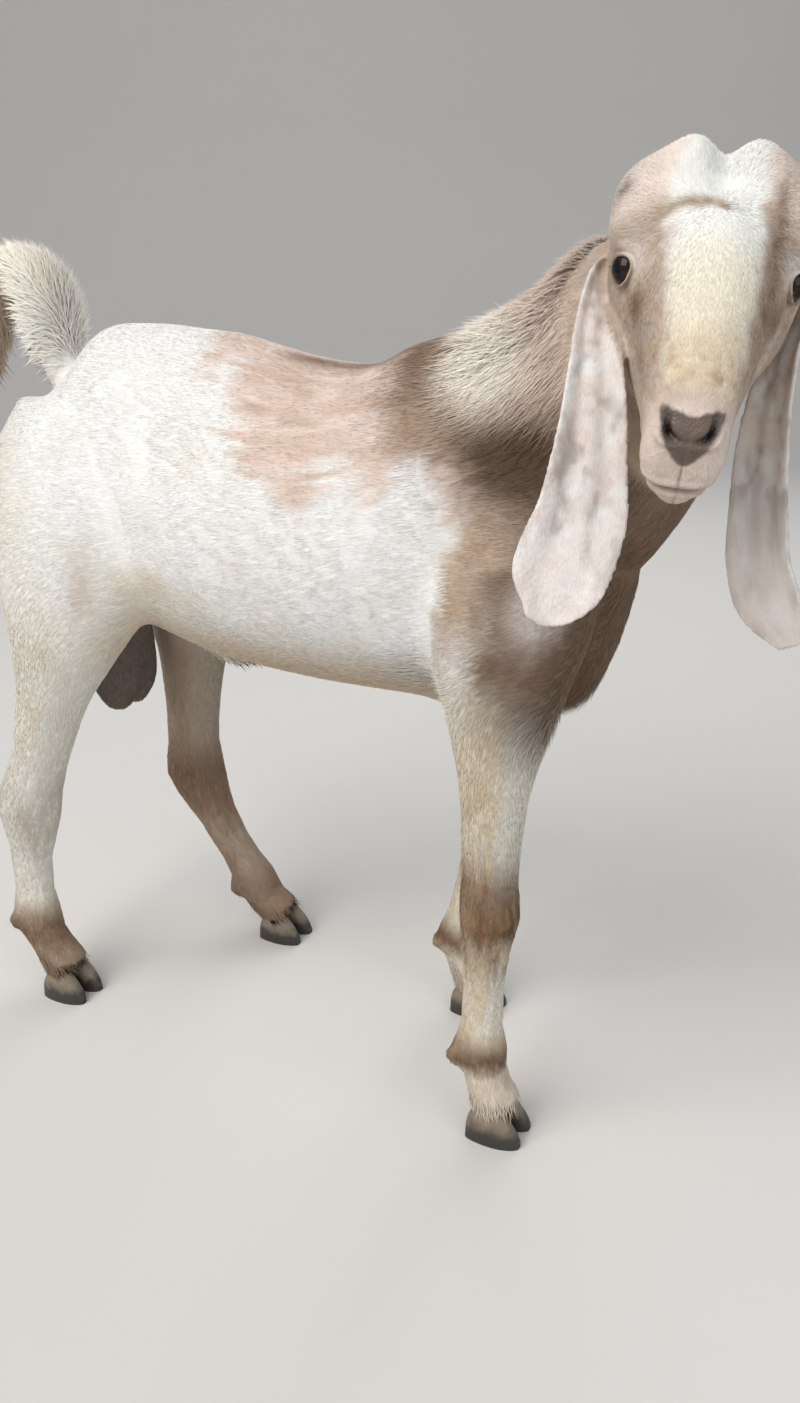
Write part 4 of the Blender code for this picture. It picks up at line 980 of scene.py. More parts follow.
def markings(points, normals, share_of):
    """Colour of the hide at each place, and how bare it is."""
    x, y, z = points.T
    spots = mottle(points, 0.022, 41)
    fine = mottle(points, 0.008, 51)
    colours = lay(WHITE, 0.08 + 0.12 * spots, CREAM)
    under = smooth_step(-0.25, -0.85, normals[:, 2]) * smooth_step(0.43, 0.37, z)
    colours = lay(colours, under * 0.75, TAN * 1.2)
    colours = lay(colours, smooth_step(0.40, 0.345, z) * 0.45, CREAM)
    streaks = cloud(points * (0.35, 1, 1), 0.0045, 57)
    lobes = 0.017 * np.sin((x + 0.012) * 2 * math.pi / 0.052)
    lobes -= 0.012 * np.sin((x + 0.030) * 2 * math.pi / 0.150)
    edge = 0.503 + 0.85 * np.clip(0.000 - x, 0, 0.2) + lobes + 0.012 * spots + 0.008 * streaks
    edge += 0.22 * np.clip(x - 0.065, 0, 0.05)
    saddle = smooth_step(-0.006, 0.006, z - edge) * smooth_step(-0.095, -0.065, x + 0.006 * spots)
    deep = np.clip(0.88 + 0.25 * streaks + 0.15 * fine, 0, 1)
    colours = lay(colours, saddle * deep, PINK)
    colours = lay(colours, saddle * np.clip(0.16 + 0.45 * streaks + 0.2 * spots, 0, 1), TAN)
    spine = np.exp(-((y / 0.010) ** 2)) * smooth_step(0.550, 0.562, z)
    colours = lay(colours, spine * smooth_step(-0.045, -0.01, x) * smooth_step(0.10, 0.06, x) * 0.85, BROWN)
    front = smooth_step(0.124, 0.142, x + 0.010 * spots - 0.10 * (z - 0.44))
    front *= np.maximum(smooth_step(0.36, 0.43, z + 0.012 * spots), smooth_step(0.18, 0.20, x))
    front = np.maximum(front, smooth_step(0.075, 0.100, x) * smooth_step(0.515, 0.535, z))
    colours = lay(colours, front * (0.88 + 0.15 * fine), TAN * 0.92)
    colours = lay(colours, front * np.clip(0.10 + 0.30 * spots, 0, 1) * smooth_step(0.52, 0.46, z), CREAM)
    withers = bell(points, (0.096, 0.0, 0.578), (0.030, 0.090, 0.040)) * (1.10 + 0.4 * streaks)
    colours = lay(colours, np.clip(withers, 0, 1) * 0.95, BROWN * 0.95)
    # The brown chest and throat, laid darker than their own brown as painted shade under the neck
    chest = smooth_step(0.165, 0.205, x + 0.25 * np.abs(y) * (z < 0.46) + 0.006 * spots)
    colours = lay(colours, chest * smooth_step(0.64, 0.44, z + 0.02 * spots) * 0.95, BROWN * 0.78)
    mottled = front * smooth_step(0.46, 0.40, z) * smooth_step(0.19, 0.17, x)
    mottled *= smooth_step(-0.2, 0.7, mottle(points * (1, 1, 0.6), 0.016, 59))
    colours = lay(colours, mottled * 0.55, WHITE)
    nape = smooth_step(0.535, 0.585, z + 0.40 * (x - 0.18) + 0.008 * spots) * smooth_step(0.112, 0.135, x)
    nape *= smooth_step(-0.75, 0.15, 0.83 * normals[:, 2] - 0.55 * normals[:, 0])
    colours = lay(colours, nape * (0.80 + 0.2 * fine), NAPE)
    # Dark brown on the lower neck below its pale patch: partly its darker hair, partly painted shade under
    # the ear and neck
    neck_shade = side_spot(points, (0.174, 0.528), (0.036, 0.029))
    neck_shade *= smooth_step(0.02, 0.05, np.abs(y)) * (1.45 + 0.25 * streaks)
    colours = lay(colours, np.clip(neck_shade, 0, 1) * 0.94, BROWN * 0.42)
    patch = side_spot(points, (0.146, 0.586), (0.026, 0.025)) * (1.45 + 0.20 * streaks)
    colours = lay(colours, np.clip(patch, 0, 1) * 0.97, NECK_PATCH)
    # Painted shade: tan in the crease of each thigh
    thigh = side_spot(points, (-0.170, 0.400), (0.011, 0.034))
    thigh *= smooth_step(0.03, 0.06, np.abs(y))
    colours = lay(colours, thigh * 0.6, TAN)
    # Darker cream in the fold of each flank: partly its fluffy hair, partly painted shade
    flank = side_spot(points, (-0.115, 0.405), (0.050, 0.022))
    colours = lay(colours, np.clip(flank * (0.55 + 0.35 * spots), 0, 1), CREAM * 0.85)
    rump = smooth_step(-0.20, -0.27, x + 0.20 * (z - 0.45)) * (0.38 + 0.25 * spots)
    colours = lay(colours, rump, CREAM)
    for name, knee, fetlock, brown_foot in LEG_MARKS:
        leg = leg_colours(points, smooth_step(0.1, 0.6, normals[:, 0]), knee, fetlock, brown_foot)
        if name == "hindleg_left":
            # The far hind leg, in the belly's shadow, is darkened with tan and its hock with brown: partly
            # the leg's own brown, partly painted shade
            leg = lay(leg, smooth_step(0.40, 0.30, z) * 0.70, TAN * 0.68)
            shaded_hock = bell(points, (-0.205, 0.080, 0.178), (0.03, 0.03, 0.030))
            leg = lay(leg, shaded_hock * 0.8, BROWN * 0.8)
        if name == "hindleg_right":
            pale = smooth_step(0.075, 0.110, z) * (0.66 - 0.22 * spots)
            leg = lay(leg, pale, WHITE * (0.98, 0.96, 0.90))
        colours = lay(colours, share_of[name] * smooth_step(0.42, 0.36, z + 0.008 * spots), leg)
    # Painted shade: tan on the inside of the tail's curl, where the skin faces the curl's middle
    inside = -((points - (-0.292, 0, 0.575)) * normals).sum(1) / 0.04
    tail = lay(WHITE * (1, 0.985, 0.94), 0.30 + 0.2 * fine, CREAM)
    tail = lay(tail, 0.70 * smooth_step(0.1, 0.7, inside), TAN * 1.1)
    pouch = lay(POUCH, 0.3 * fine, DARK)
    ear = lay(EAR_SKIN, 0.35 + 0.6 * mottle(points, 0.014, 61), WHITE * 0.95)
    ear = lay(ear, smooth_step(0.0, 0.9, mottle(points * (1, 1, 0.6), 0.009, 71)) * 0.75, GREY)
    ear = lay(ear, smooth_step(0.1, 1.0, fine) * 0.30, EAR_FRECKLE)
    ear = lay(ear, smooth_step(0.50, 0.45, z) * 0.45, EAR_TIP)
    face, pad = face_colours(to_head(points))
    for mask, layer in (
        (share_of["tail"] + share_of["sheath"], tail),
        (share_of["scrotum"] * smooth_step(0.385, 0.36, z), pouch),
        (share_of["ear_right"] + share_of["ear_left"], ear),
        (share_of["head"], face),
    ):
        colours = lay(colours, mask, layer)
    bare = np.maximum(pad * share_of["head"], 0.7 * share_of["scrotum"])
    return np.clip(colours, 0.01, 0.9), bare


skin_colours, bare = markings(points, normals, share_of)

# Skin
# One soft hide over the whole body. It is dull where the coat covers it, and moist and pebbled on
# the nose pad and, less so, on the scrotum.
DRY_HIDE = 0.85
MOIST_HIDE = 0.50
PEBBLES_PER_METRE = 520
PEBBLE_HEIGHT = 0.0005
skin_mesh = mesh_of("skin", points, triangles)
skin.data = skin_mesh


def add_colours(mesh, name, colours):
    """Puts a colour on each point of the mesh."""
    rgba = np.concatenate([colours, np.ones((len(colours), 1))], axis=1).astype(np.float32)
    mesh.attributes.new(name, "FLOAT_COLOR", "POINT").data.foreach_set("color", rgba.ravel())


def add_values(mesh, name, values):
    """Puts a number on each point of the mesh."""
    mesh.attributes.new(name, "FLOAT", "POINT").data.foreach_set("value", values.astype(np.float32))


add_colours(skin_mesh, "hide", skin_colours)
add_values(skin_mesh, "bare", bare)


def effect(name, inputs, outputs):
    """An empty shader group with these named sockets, and its two end nodes."""
    group = bpy.data.node_groups.new(name, "ShaderNodeTree")
    for socket, kind, value in inputs:
        made = group.interface.new_socket(socket, in_out="INPUT", socket_type=kind)
        if value is not None:
            made.default_value = value
    for socket, kind in outputs:
        group.interface.new_socket(socket, in_out="OUTPUT", socket_type=kind)
    return group, group.nodes.new("NodeGroupInput"), group.nodes.new("NodeGroupOutput")


# Uneven tone of hair and hide: a colour lightened and darkened by noise at two scales
tone, given, result = effect(
    "uneven_tone",
    [
        ("Color", "NodeSocketColor", None),
        ("Scale", "NodeSocketFloat", 60.0),
        ("Strength", "NodeSocketFloat", 0.15),
    ],
    [("Color", "NodeSocketColor"), ("Height", "NodeSocketFloat")],
)
where = tone.nodes.new("ShaderNodeTexCoord")
noise = tone.nodes.new("ShaderNodeTexNoise")
noise.inputs["Detail"].default_value = 5
noise.inputs["Roughness"].default_value = 0.6
shift = tone.nodes.new("ShaderNodeMath")
shift.operation = "SUBTRACT"
shift.inputs[1].default_value = 0.5
gain = tone.nodes.new("ShaderNodeMath")
gain.operation = "MULTIPLY_ADD"
gain.inputs[2].default_value = 1.0
scaled = tone.nodes.new("ShaderNodeVectorMath")
scaled.operation = "SCALE"
tone.links.new(where.outputs["Object"], noise.inputs["Vector"])
tone.links.new(given.outputs["Scale"], noise.inputs["Scale"])
tone.links.new(noise.outputs["Fac"], shift.inputs[0])
tone.links.new(shift.outputs[0], gain.inputs[0])
tone.links.new(given.outputs["Strength"], gain.inputs[1])
tone.links.new(given.outputs["Color"], scaled.inputs[0])
tone.links.new(gain.outputs[0], scaled.inputs["Scale"])
tone.links.new(scaled.outputs[0], result.inputs["Color"])
tone.links.new(noise.outputs["Fac"], result.inputs["Height"])


def reading(nodes, attribute):
    """A node that reads the mesh attribute of that name."""
    node = nodes.new("ShaderNodeAttribute")
    node.attribute_name = attribute
    return node


def finish(name, colour, roughness, attribute=None, scale=60.0, strength=0.15, bump=0.0, **settings):
    """A Principled material with uneven tone, from one colour or from a mesh attribute."""
    made = bpy.data.materials.new(name)
    made.use_nodes = True
    nodes, links = made.node_tree.nodes, made.node_tree.links
    shader = nodes["Principled BSDF"]
    shader.inputs["Roughness"].default_value = roughness
    for socket, value in settings.items():
        shader.inputs[socket.replace("_", " ")].default_value = value
    uneven = nodes.new("ShaderNodeGroup")
    uneven.node_tree = tone
    uneven.inputs["Scale"].default_value = scale
    uneven.inputs["Strength"].default_value = strength
    uneven.inputs["Color"].default_value = (*colour, 1)
    if attribute:
        links.new(reading(nodes, attribute).outputs["Color"], uneven.inputs["Color"])
    links.new(uneven.outputs["Color"], shader.inputs["Base Color"])
    if bump:
        raised = nodes.new("ShaderNodeBump")
        raised.inputs["Strength"].default_value = 1.0
        raised.inputs["Distance"].default_value = bump
        links.new(uneven.outputs["Height"], raised.inputs["Height"])
        links.new(raised.outputs["Normal"], shader.inputs["Normal"])
    return made


hide = finish("hide", WHITE, DRY_HIDE, "hide", scale=70, strength=0.35, bump=0.0010)
nodes, links = hide.node_tree.nodes, hide.node_tree.links
bare_read = reading(nodes, "bare")
wet = nodes.new("ShaderNodeMapRange")
wet.inputs["To Min"].default_value = DRY_HIDE
wet.inputs["To Max"].default_value = MOIST_HIDE
links.new(bare_read.outputs["Fac"], wet.inputs["Value"])
links.new(wet.outputs["Result"], nodes["Principled BSDF"].inputs["Roughness"])
pebbles = nodes.new("ShaderNodeTexVoronoi")
pebbles.inputs["Scale"].default_value = PEBBLES_PER_METRE
place_read = nodes.new("ShaderNodeTexCoord")
links.new(place_read.outputs["Object"], pebbles.inputs["Vector"])
pebble_height = nodes.new("ShaderNodeMath")
pebble_height.operation = "MULTIPLY"
links.new(pebbles.outputs["Distance"], pebble_height.inputs[0])
links.new(bare_read.outputs["Fac"], pebble_height.inputs[1])
pebbled = nodes.new("ShaderNodeBump")
pebbled.inputs["Distance"].default_value = PEBBLE_HEIGHT
links.new(pebble_height.outputs[0], pebbled.inputs["Height"])
links.new(nodes["Bump"].outputs["Normal"], pebbled.inputs["Normal"])
links.new(pebbled.outputs["Normal"], nodes["Principled BSDF"].inputs["Normal"])
skin_mesh.materials.append(hide)
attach(skin, "root")
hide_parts("head", "neck", "torso", "tail", "ear_right", "ear_left", "scrotum", "sheath")
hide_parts("foreleg_right", "foreleg_left", "hindleg_right", "hindleg_left")

# Unwrap of the skin
# The hide is laid flat in islands, as a furrier would cut it. The export colours each tuft by the
# place of its root on this unwrap, and the skin itself then keeps no map.
ISLAND_ANGLE = math.radians(66)
ISLAND_MARGIN = 0.002
bpy.context.view_layer.objects.active = skin
skin.select_set(True)
bpy.ops.object.mode_set(mode="EDIT")
bpy.ops.mesh.select_all(action="SELECT")
bpy.ops.uv.smart_project(angle_limit=ISLAND_ANGLE, island_margin=ISLAND_MARGIN)
bpy.ops.object.mode_set(mode="OBJECT")
flat_places = np.empty(len(triangles) * 6, np.float32)
skin_mesh.uv_layers.active.data.foreach_get("uv", flat_places)
flat_places = flat_places.reshape(-1, 3, 2)
skin_mesh.uv_layers.remove(skin_mesh.uv_layers.active)

# Short coat
# Hair lies over the whole hide in fine tufts that overlap like thatch: shortest on the face, ears
# and feet, longer on the neck, chest, elbows and backs of the thighs. A short tuft is a closed
# splinter of four faces that lies along the hide, its root sunk in it.
SHORT_SHARE = 0.84
PIECE_TUFTS = 49000
ROOT_SINK = 0.0006
PATCH = 0.0015
SOFTNESS = 0.28
# Stations along a tuft with the share of its width there, and its painted shade at its root and tip,
# darkest at the root
SHORT_STATIONS = ((0.0, 1.0),)
SHORT_SHADES = (0.93, 1.04)
COAT_SEED = 17

# Where the coat is longer, on both sides: centre, reach, share of extra length, extra lift
SHAGGY = [
    ((0.118, 0.066, 0.368), (0.026, 0.030, 0.022), 1.5, 0.38),
    ((0.200, 0.030, 0.362), (0.026, 0.060, 0.026), 1.5, 0.34),
    ((0.225, 0.000, 0.440), (0.030, 0.050, 0.050), 0.3, 0.06),
    ((-0.285, 0.040, 0.420), (0.030, 0.040, 0.080), 0.5, 0.10),
    ((0.150, 0.045, 0.570), (0.050, 0.030, 0.030), 0.5, 0.10),
    ((0.000, 0.000, 0.335), (0.150, 0.050, 0.020), 0.4, 0.10),
]


def spread(weights, count, draw):
    """Triangle numbers and places in them for count roots, evenly by weight."""
    total = np.cumsum(weights)
    at = (np.arange(count) + draw.uniform(0, 1, count)) / count * total[-1]
    chosen = np.minimum(np.searchsorted(total, at), len(weights) - 1)
    a, b = draw.uniform(0, 1, (2, count))
    flip = a + b > 1
    a, b = np.where(flip, 1 - a, a), np.where(flip, 1 - b, b)
    return chosen, np.stack([1 - a - b, a, b], -1)


def at_roots(values, chosen, corners):
    """Values of the skin's points, read at places inside its triangles."""
    picked = values[triangles[chosen]]
    shape = corners.shape + (1,) * (picked.ndim - 2)
    return (picked * corners.reshape(shape)).sum(1)


def blades(roots, growth, lie, normal, length, width, stations):
    """Points, shading normals and triangles of closed blades of three sides, one for each root.

    A blade's middle line is root + length * (growth * (s - s*s/2) + lie * s*s/2), and its width
    falls with s as given by stations, a list of (s, share of the width). It ends in a point.
    """
    count = len(roots)
    rings, shades = [], []
    for share, breadth in stations:
        middle = roots + length[:, None] * (growth * (share - share**2 / 2) + lie * share**2 / 2)
        heading = unit(growth * (1 - share) + lie * share)
        across = unit(np.cross(heading, normal))
        up = np.cross(across, heading)
        half = (width * breadth / 2)[:, None]
        rings.append(
            np.stack([middle - across * half, middle + across * half, middle + up * half * 0.7], axis=1)
        )
        shades.append(
            np.stack([normal - across * SOFTNESS, normal + across * SOFTNESS, normal + up * 0.3], axis=1)
        )
    tip = roots + length[:, None] * (growth + lie) / 2
    points = np.concatenate([*rings, tip[:, None]], axis=1)
    shades = np.concatenate([*shades, (normal + lie * 0.2)[:, None]], axis=1)
    faces = [(0, 1, 2)]
    for ring in range(len(stations) - 1):
        for k in range(3):
            a, b = 3 * ring + k, 3 * ring + (k + 1) % 3
            faces += [(a, a + 3, b + 3), (a, b + 3, b)]
    last = 3 * (len(stations) - 1)
    faces += [(last + k, 3 * len(stations), last + (k + 1) % 3) for k in range(3)]
    each = points.shape[1]
    faces = np.array(faces)[None] + each * np.arange(count)[:, None, None]
    return points.reshape(-1, 3), unit(shades.reshape(-1, 3)), faces.reshape(-1, 3)


BLADE_CORNERS = np.array([(-1.0, -1.0), (1.0, -1.0), (0.0, 1.0)])


def coat_piece(name, chosen, corners, growth, lie, length, width, stations, colours, root_tip_shade, material):
    """One mesh of tufts, with the colour of each and its patch on the skin's unwrap."""
    roots = at_roots(points, chosen, corners)
    normal = unit(at_roots(normals, chosen, corners))
    blade_points, shades, faces = blades(
        roots - growth * ROOT_SINK, growth, lie, normal, length + ROOT_SINK, width, stations
    )
    mesh = mesh_of(name, blade_points, outward(blade_points, faces))
    mesh.normals_split_custom_set_from_vertices(shades)
    fade = np.concatenate([np.repeat([share for share, _ in stations], 3), [1.0]])
    # Painted shade along each tuft, darkest at its root
    shade = root_tip_shade[0] + (root_tip_shade[1] - root_tip_shade[0]) * fade
    add_colours(mesh, "hair", (colours[:, None] * shade[:, None]).reshape(-1, 3))
    flat = (flat_places[chosen] * corners[..., None]).sum(1)
    offset = np.concatenate([np.tile(BLADE_CORNERS, (len(stations), 1)), [(0.0, 0.0)]])
    offset *= (1 - 0.6 * fade)[:, None]
    patches = (flat[:, None] + offset * PATCH).reshape(-1, 2)
    order = np.empty(len(faces) * 3, np.int32)
    mesh.loops.foreach_get("vertex_index", order)
    layer = mesh.uv_layers.new(name="OFBake")
    layer.data.foreach_set("uv", patches[order].astype(np.float32).ravel())
    mesh.materials.append(material)
    obj = placed(name, mesh)
    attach(obj, "root")


coat_hair = finish(
    "coat_hair", WHITE, 0.66, "hair", scale=120, strength=0.12,
    Specular_IOR_Level=0.20, Sheen_Weight=0.04, Sheen_Roughness=0.5,
)

draw = np.random.default_rng(COAT_SEED)
corner_points = points[triangles]
areas = np.linalg.norm(
    np.cross(corner_points[:, 1] - corner_points[:, 0], corner_points[:, 2] - corner_points[:, 0]), axis=1
) / 2
face_places = to_head(points)
open_eye = np.minimum(eye_measure(face_places, -1)[0], eye_measure(face_places, 1)[0])
bald = smooth_step(1.55, 1.30, open_eye) * share_of["head"]
by_pad = nose_pad(face_places * (1, 0.92, 1) + (0, 0, 0.0008)) * share_of["head"]
bald = np.maximum(bald, np.maximum(np.minimum(1.4 * bare, 1), by_pad) * share_of["head"])
bald = np.maximum(bald, smooth_step(0.022, 0.016, points[:, 2]))
density = facts[:, 5] * (1 - bald) / MILLIMETRE**2 * SHORT_SHARE
weights = areas * density[triangles].mean(1)
tuft_count = int(weights.sum())
chosen, corners = spread(weights, tuft_count, draw)

mirrored = on_left(points)
longer, lifted = np.ones(len(points)), np.zeros(len(points))
for centre, reach, extra, lift in SHAGGY:
    near = bell(mirrored, centre, reach)
    longer += extra * near
    lifted += lift * near
on_leg = sum(share_of[name] for name in PART_NAMES if "leg" in name)
longer *= 1 - 0.35 * on_leg * smooth_step(0.26, 0.10, points[:, 2])
muzzle_share = share_of["head"] * smooth_step(0.05, 0.10, face_places[:, 0])
longer *= 1 - 0.55 * muzzle_share
crown = smooth_step(0.0, -0.03, face_places[:, 0]) * smooth_step(0.02, 0.05, face_places[:, 2])
longer += 0.7 * crown * share_of["head"]

root_ways = at_roots(ways, chosen, corners)
root_normals = unit(at_roots(normals, chosen, corners))
root_facts = at_roots(facts, chosen, corners)
root_places = at_roots(points, chosen, corners)
swirl = 0.16 * cloud(root_places, 0.040, 81) + draw.normal(0, 0.06, tuft_count)
on_ear = at_roots(share_of["ear_right"] + share_of["ear_left"], chosen, corners)
swirl *= 1 - 0.7 * on_ear
sideways = np.cross(root_normals, root_ways)
root_ways = unit(root_ways * np.cos(swirl)[:, None] + sideways * np.sin(swirl)[:, None])
lift = root_facts[:, 3] + at_roots(lifted, chosen, corners) + draw.normal(0, 0.02, tuft_count)
lift = np.clip(lift, 0.03, 0.8)[:, None]
growth = root_ways * np.cos(lift) + root_normals * np.sin(lift)
length = root_facts[:, 1] * draw.uniform(0.7, 1.3, tuft_count) * MILLIMETRE
length *= at_roots(longer, chosen, corners)
width = root_facts[:, 2] * draw.uniform(0.87, 1.31, tuft_count) * MILLIMETRE
tuft_colours = at_roots(skin_colours, chosen, corners) * draw.normal(1.0, 0.03, tuft_count)[:, None]
tuft_colours = np.clip(tuft_colours, 0.01, 0.92)
for number, start in enumerate(range(0, tuft_count, PIECE_TUFTS)):
    rows = slice(start, start + PIECE_TUFTS)
    coat_piece(
        f"coat_{number + 1}", chosen[rows], corners[rows], growth[rows], growth[rows], length[rows],
        width[rows], SHORT_STATIONS, tuft_colours[rows], SHORT_SHADES, coat_hair,
    )

# Long hair
# The tail is thick and fluffy all round, the nape carries a soft crest, the neck's pale patch lies
# longer, a fringe hangs over the hooves and a tuft from the sheath. The tufts are finer and more
# than the locks of the solids, and stand off at their roots.
LONG_STATIONS = ((0.0, 0.8), (0.50, 0.95))
# Painted shade of a long tuft at its root and tip, darkest at the root
LONG_SHADES = (0.84, 1.06)
TAIL_TINT = (1.12, 1.09, 1.05)


def long_hair(name, mask, count, sizes, lift, droop, spread_angle, seed, tint=(1, 1, 1)):
    """Long tufts rooted where the mask of the skin's points allows, in the lie of the coat."""
    draw = np.random.default_rng(seed)
    count = count
    chosen, corners = spread(areas * mask[triangles].mean(1), count, draw)
    normal = unit(at_roots(normals, chosen, corners))
    way = at_roots(ways, chosen, corners)
    turn = draw.normal(0, spread_angle, count)[:, None]
    way = unit(way * np.cos(turn) + np.cross(normal, way) * np.sin(turn))
    angle = np.clip(draw.normal(lift, lift * 0.3, count), 0.05, 1.3)[:, None]
    growth = way * np.cos(angle) + normal * np.sin(angle)
    lie = unit(way + normal * (0.15 + 0.5 * (angle - lift)) + np.array((0, 0, -droop)))
    length = sizes[0] * draw.uniform(0.65, 1.25, count)
    width = sizes[1] * draw.uniform(0.7, 1.3, count)
    colours = at_roots(skin_colours, chosen, corners) * draw.normal(1.0, 0.08, count)[:, None] * tint
    coat_piece(
        name, chosen, corners, growth, lie, length, width, LONG_STATIONS,
        np.clip(colours, 0.01, 0.92), LONG_SHADES, coat_hair,
    )


# Each call: name, where it grows, tufts, length and width, lift, droop, spread of ways, seed
x, y, z = points.T
tail_mask = smooth_step(0.08, 0.50, share_of["tail"])
long_hair("tail_hair", tail_mask, 13000, (0.023, 0.0009), 0.40, 0.10, 0.34, 91, TAIL_TINT)
crest = smooth_step(0.120, 0.150, x) * smooth_step(0.45, 0.85, normals[:, 2])
patch = side_spot(points, (0.150, 0.582), (0.034, 0.034))
on_neck = smooth_step(0.4, 0.7, share_of["neck"])
long_hair("nape_hair", crest * on_neck, 8000, (0.017, 0.0005), 0.72, 0.05, 0.34, 92)
long_hair("neck_hair", patch * on_neck, 7000, (0.018, 0.0005), 0.16, 0.10, 0.16, 95)
fringe = on_leg * smooth_step(0.040, 0.030, z)
long_hair("foot_hair", fringe, 6500, (0.0150, 0.0006), 0.10, 0.25, 0.20, 94)
tip_mask = share_of["sheath"] * smooth_step(-0.112, -0.098, x) * smooth_step(0.35, 0.345, z)
long_hair("sheath_hair", np.maximum(tip_mask, 1e-9), 420, (0.016, 0.0011), 0.35, 0.35, 0.25, 93)

# Eyes
# A goat's eye is large and dark, with a bulging clear cornea, an amber-brown iris and a flat
# pupil that lies level. Each is a ball set in its socket behind the lids.
IRIS_EDGE = math.radians(40)
CORNEA_RISE = 0.0011
PUPIL = (0.0052, 0.0021)
IRIS = (0.020, 0.011, 0.006)
IRIS_RIM = (0.012, 0.008, 0.006)
PUPIL_COLOUR = (0.002, 0.002, 0.003)
EYE_GRID = (72, 96, 0.012)


def polar(rings, sides, gap):
    """Rings on a ball of radius 1 from pole to pole: their tilt and turn, and their three parts."""
    tilt = np.linspace(gap, math.pi - gap, rings)[:, None]
    turn = np.linspace(0, 2 * math.pi, sides, endpoint=False)[None]
    return tilt, turn, (np.sin(tilt) * np.cos(turn), np.sin(tilt) * np.sin(turn), np.cos(tilt) + 0 * turn)


def eyeball(name, node, side):
    """A ball in polar rings round the way it looks, raised by a bell of the angle at the cornea."""
    look, level = eye_axes(side)
    rise = np.cross(look, level)
    tilt, turn, (a, b, c) = polar(*EYE_GRID)
    radius = EYE_RADIUS + CORNEA_RISE * np.exp(-((tilt / IRIS_EDGE) ** 4))
    way = a[..., None] * level + b[..., None] * rise + c[..., None] * look
    ball = way * (radius + 0 * turn)[..., None]
    surface, faces = closed_tube(from_head(ball + EYE_PLACE * (1, side, 1)))
    mesh = mesh_of(name, surface, faces)
    iris = smooth_step(IRIS_EDGE * 1.05, IRIS_EDGE * 0.92, tilt + 0 * turn)
    oblong = (a * EYE_RADIUS / PUPIL[0]) ** 4 + (b * EYE_RADIUS / PUPIL[1]) ** 4
    slit = smooth_step(1.15, 0.9, oblong**0.25)
    streaks = 1 + 0.25 * np.sin(turn * 37) * np.sin(turn * 13 + 1) + 0 * tilt
    colours = np.array(IRIS_RIM) + (np.array(IRIS) * streaks[..., None] - IRIS_RIM) * iris[..., None]
    colours += (np.array(PUPIL_COLOUR) - colours) * (slit * (c > 0))[..., None]
    colours = np.concatenate([colours.reshape(-1, 3), [PUPIL_COLOUR, IRIS_RIM]])
    add_colours(mesh, "eye_tone", np.clip(colours, 0.001, 1))
    mesh.materials.append(eye_finish)
    obj = placed(name, mesh)
    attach(obj, "root")
    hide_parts(node)


eye_finish = finish("wet_eye", IRIS, 0.03, "eye_tone", scale=300, strength=0.1, Specular_IOR_Level=0.22)
eyeball("eyeball_right", "eye_right", -1)
eyeball("eyeball_left", "eye_left", 1)

# Hooves
# Each foot stands on two claws of dark horn, with faint growth rings round the wall and a flat
# sole. They follow the claws of the solids, more finely.
CLAW_RINGS = 64
WALL_STEPS = 33

# Each row of a claw from heel to toe: place, half width, height of the wall
CLAW = [
    (-0.0185, 0.0042, 0.012),
    (-0.0165, 0.0075, 0.020),
    (-0.0100, 0.0093, 0.025),
    (-0.0010, 0.0098, 0.028),
    (0.0080, 0.0093, 0.027),
    (0.0160, 0.0076, 0.020),
    (0.0220, 0.0052, 0.013),
    (0.0258, 0.0023, 0.007),
]
CLAW_FLARE = 1.08
RING_HEIGHT = 0.00016
RING_SPACING = 0.0024
HORN = (0.036, 0.031, 0.028)
HORN_UPPER = (0.21, 0.165, 0.12)


def claw_surface(node):
    """A claw along its own length: an arched wall over a flat sole, with growth rings."""
    low, high = (np.array(corner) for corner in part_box(node))
    rows = through(CLAW, CLAW_RINGS)
    arch = np.linspace(-math.pi / 2, math.pi / 2, WALL_STEPS)
    across, rise = np.sin(arch), np.cos(arch)
    wall = np.stack([across * (1 + 0.04 * rise), 0.30 + 0.70 * np.maximum(rise, 0) ** 0.9], -1)
    foot = np.array([(-CLAW_FLARE, 0.06), (-CLAW_FLARE, 0.0), (CLAW_FLARE, 0.0), (CLAW_FLARE, 0.06)])
    ring = np.concatenate([foot[:2][::-1], wall, foot[2:][::-1]])
    points = np.zeros((len(rows), len(ring), 3))
    points[..., 0] = rows[:, 0:1]
    points[..., 1] = rows[:, 1:2] * ring[:, 0]
    points[..., 2] = rows[:, 2:3] * ring[:, 1]
    slope = points[..., 2] + 0.45 * points[..., 0]
    lines = RING_HEIGHT * np.sin(slope * 2 * math.pi / RING_SPACING)
    lines *= smooth_step(0.001, 0.004, points[..., 2])
    points[..., 1] *= 1 + lines / 0.010
    middle = (low + high) / 2
    points[..., 0] += middle[0] - (rows[0, 0] + rows[-1, 0]) / 2
    points[..., 1] += middle[1]
    return closed_tube(points)


horn = finish("hoof_horn", HORN, 0.42, "horn_tone", scale=220, strength=0.5, bump=0.0004)
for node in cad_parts:
    if not node.startswith("hoof_"):
        continue
    surface, faces = claw_surface(node)
    claw_mesh = mesh_of(node + "_horn", surface, faces)
    # The horn turns lighter brown higher up the wall
    upper_wall = smooth_step(0.008, 0.020, surface[:, 2] + 0.003 * mottle(surface, 0.006, 95))
    add_colours(claw_mesh, "horn_tone", lay(HORN, upper_wall, HORN_UPPER))
    claw_mesh.materials.append(horn)
    claw = placed(node + "_horn", claw_mesh)
    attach(claw, "root")
    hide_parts(node)

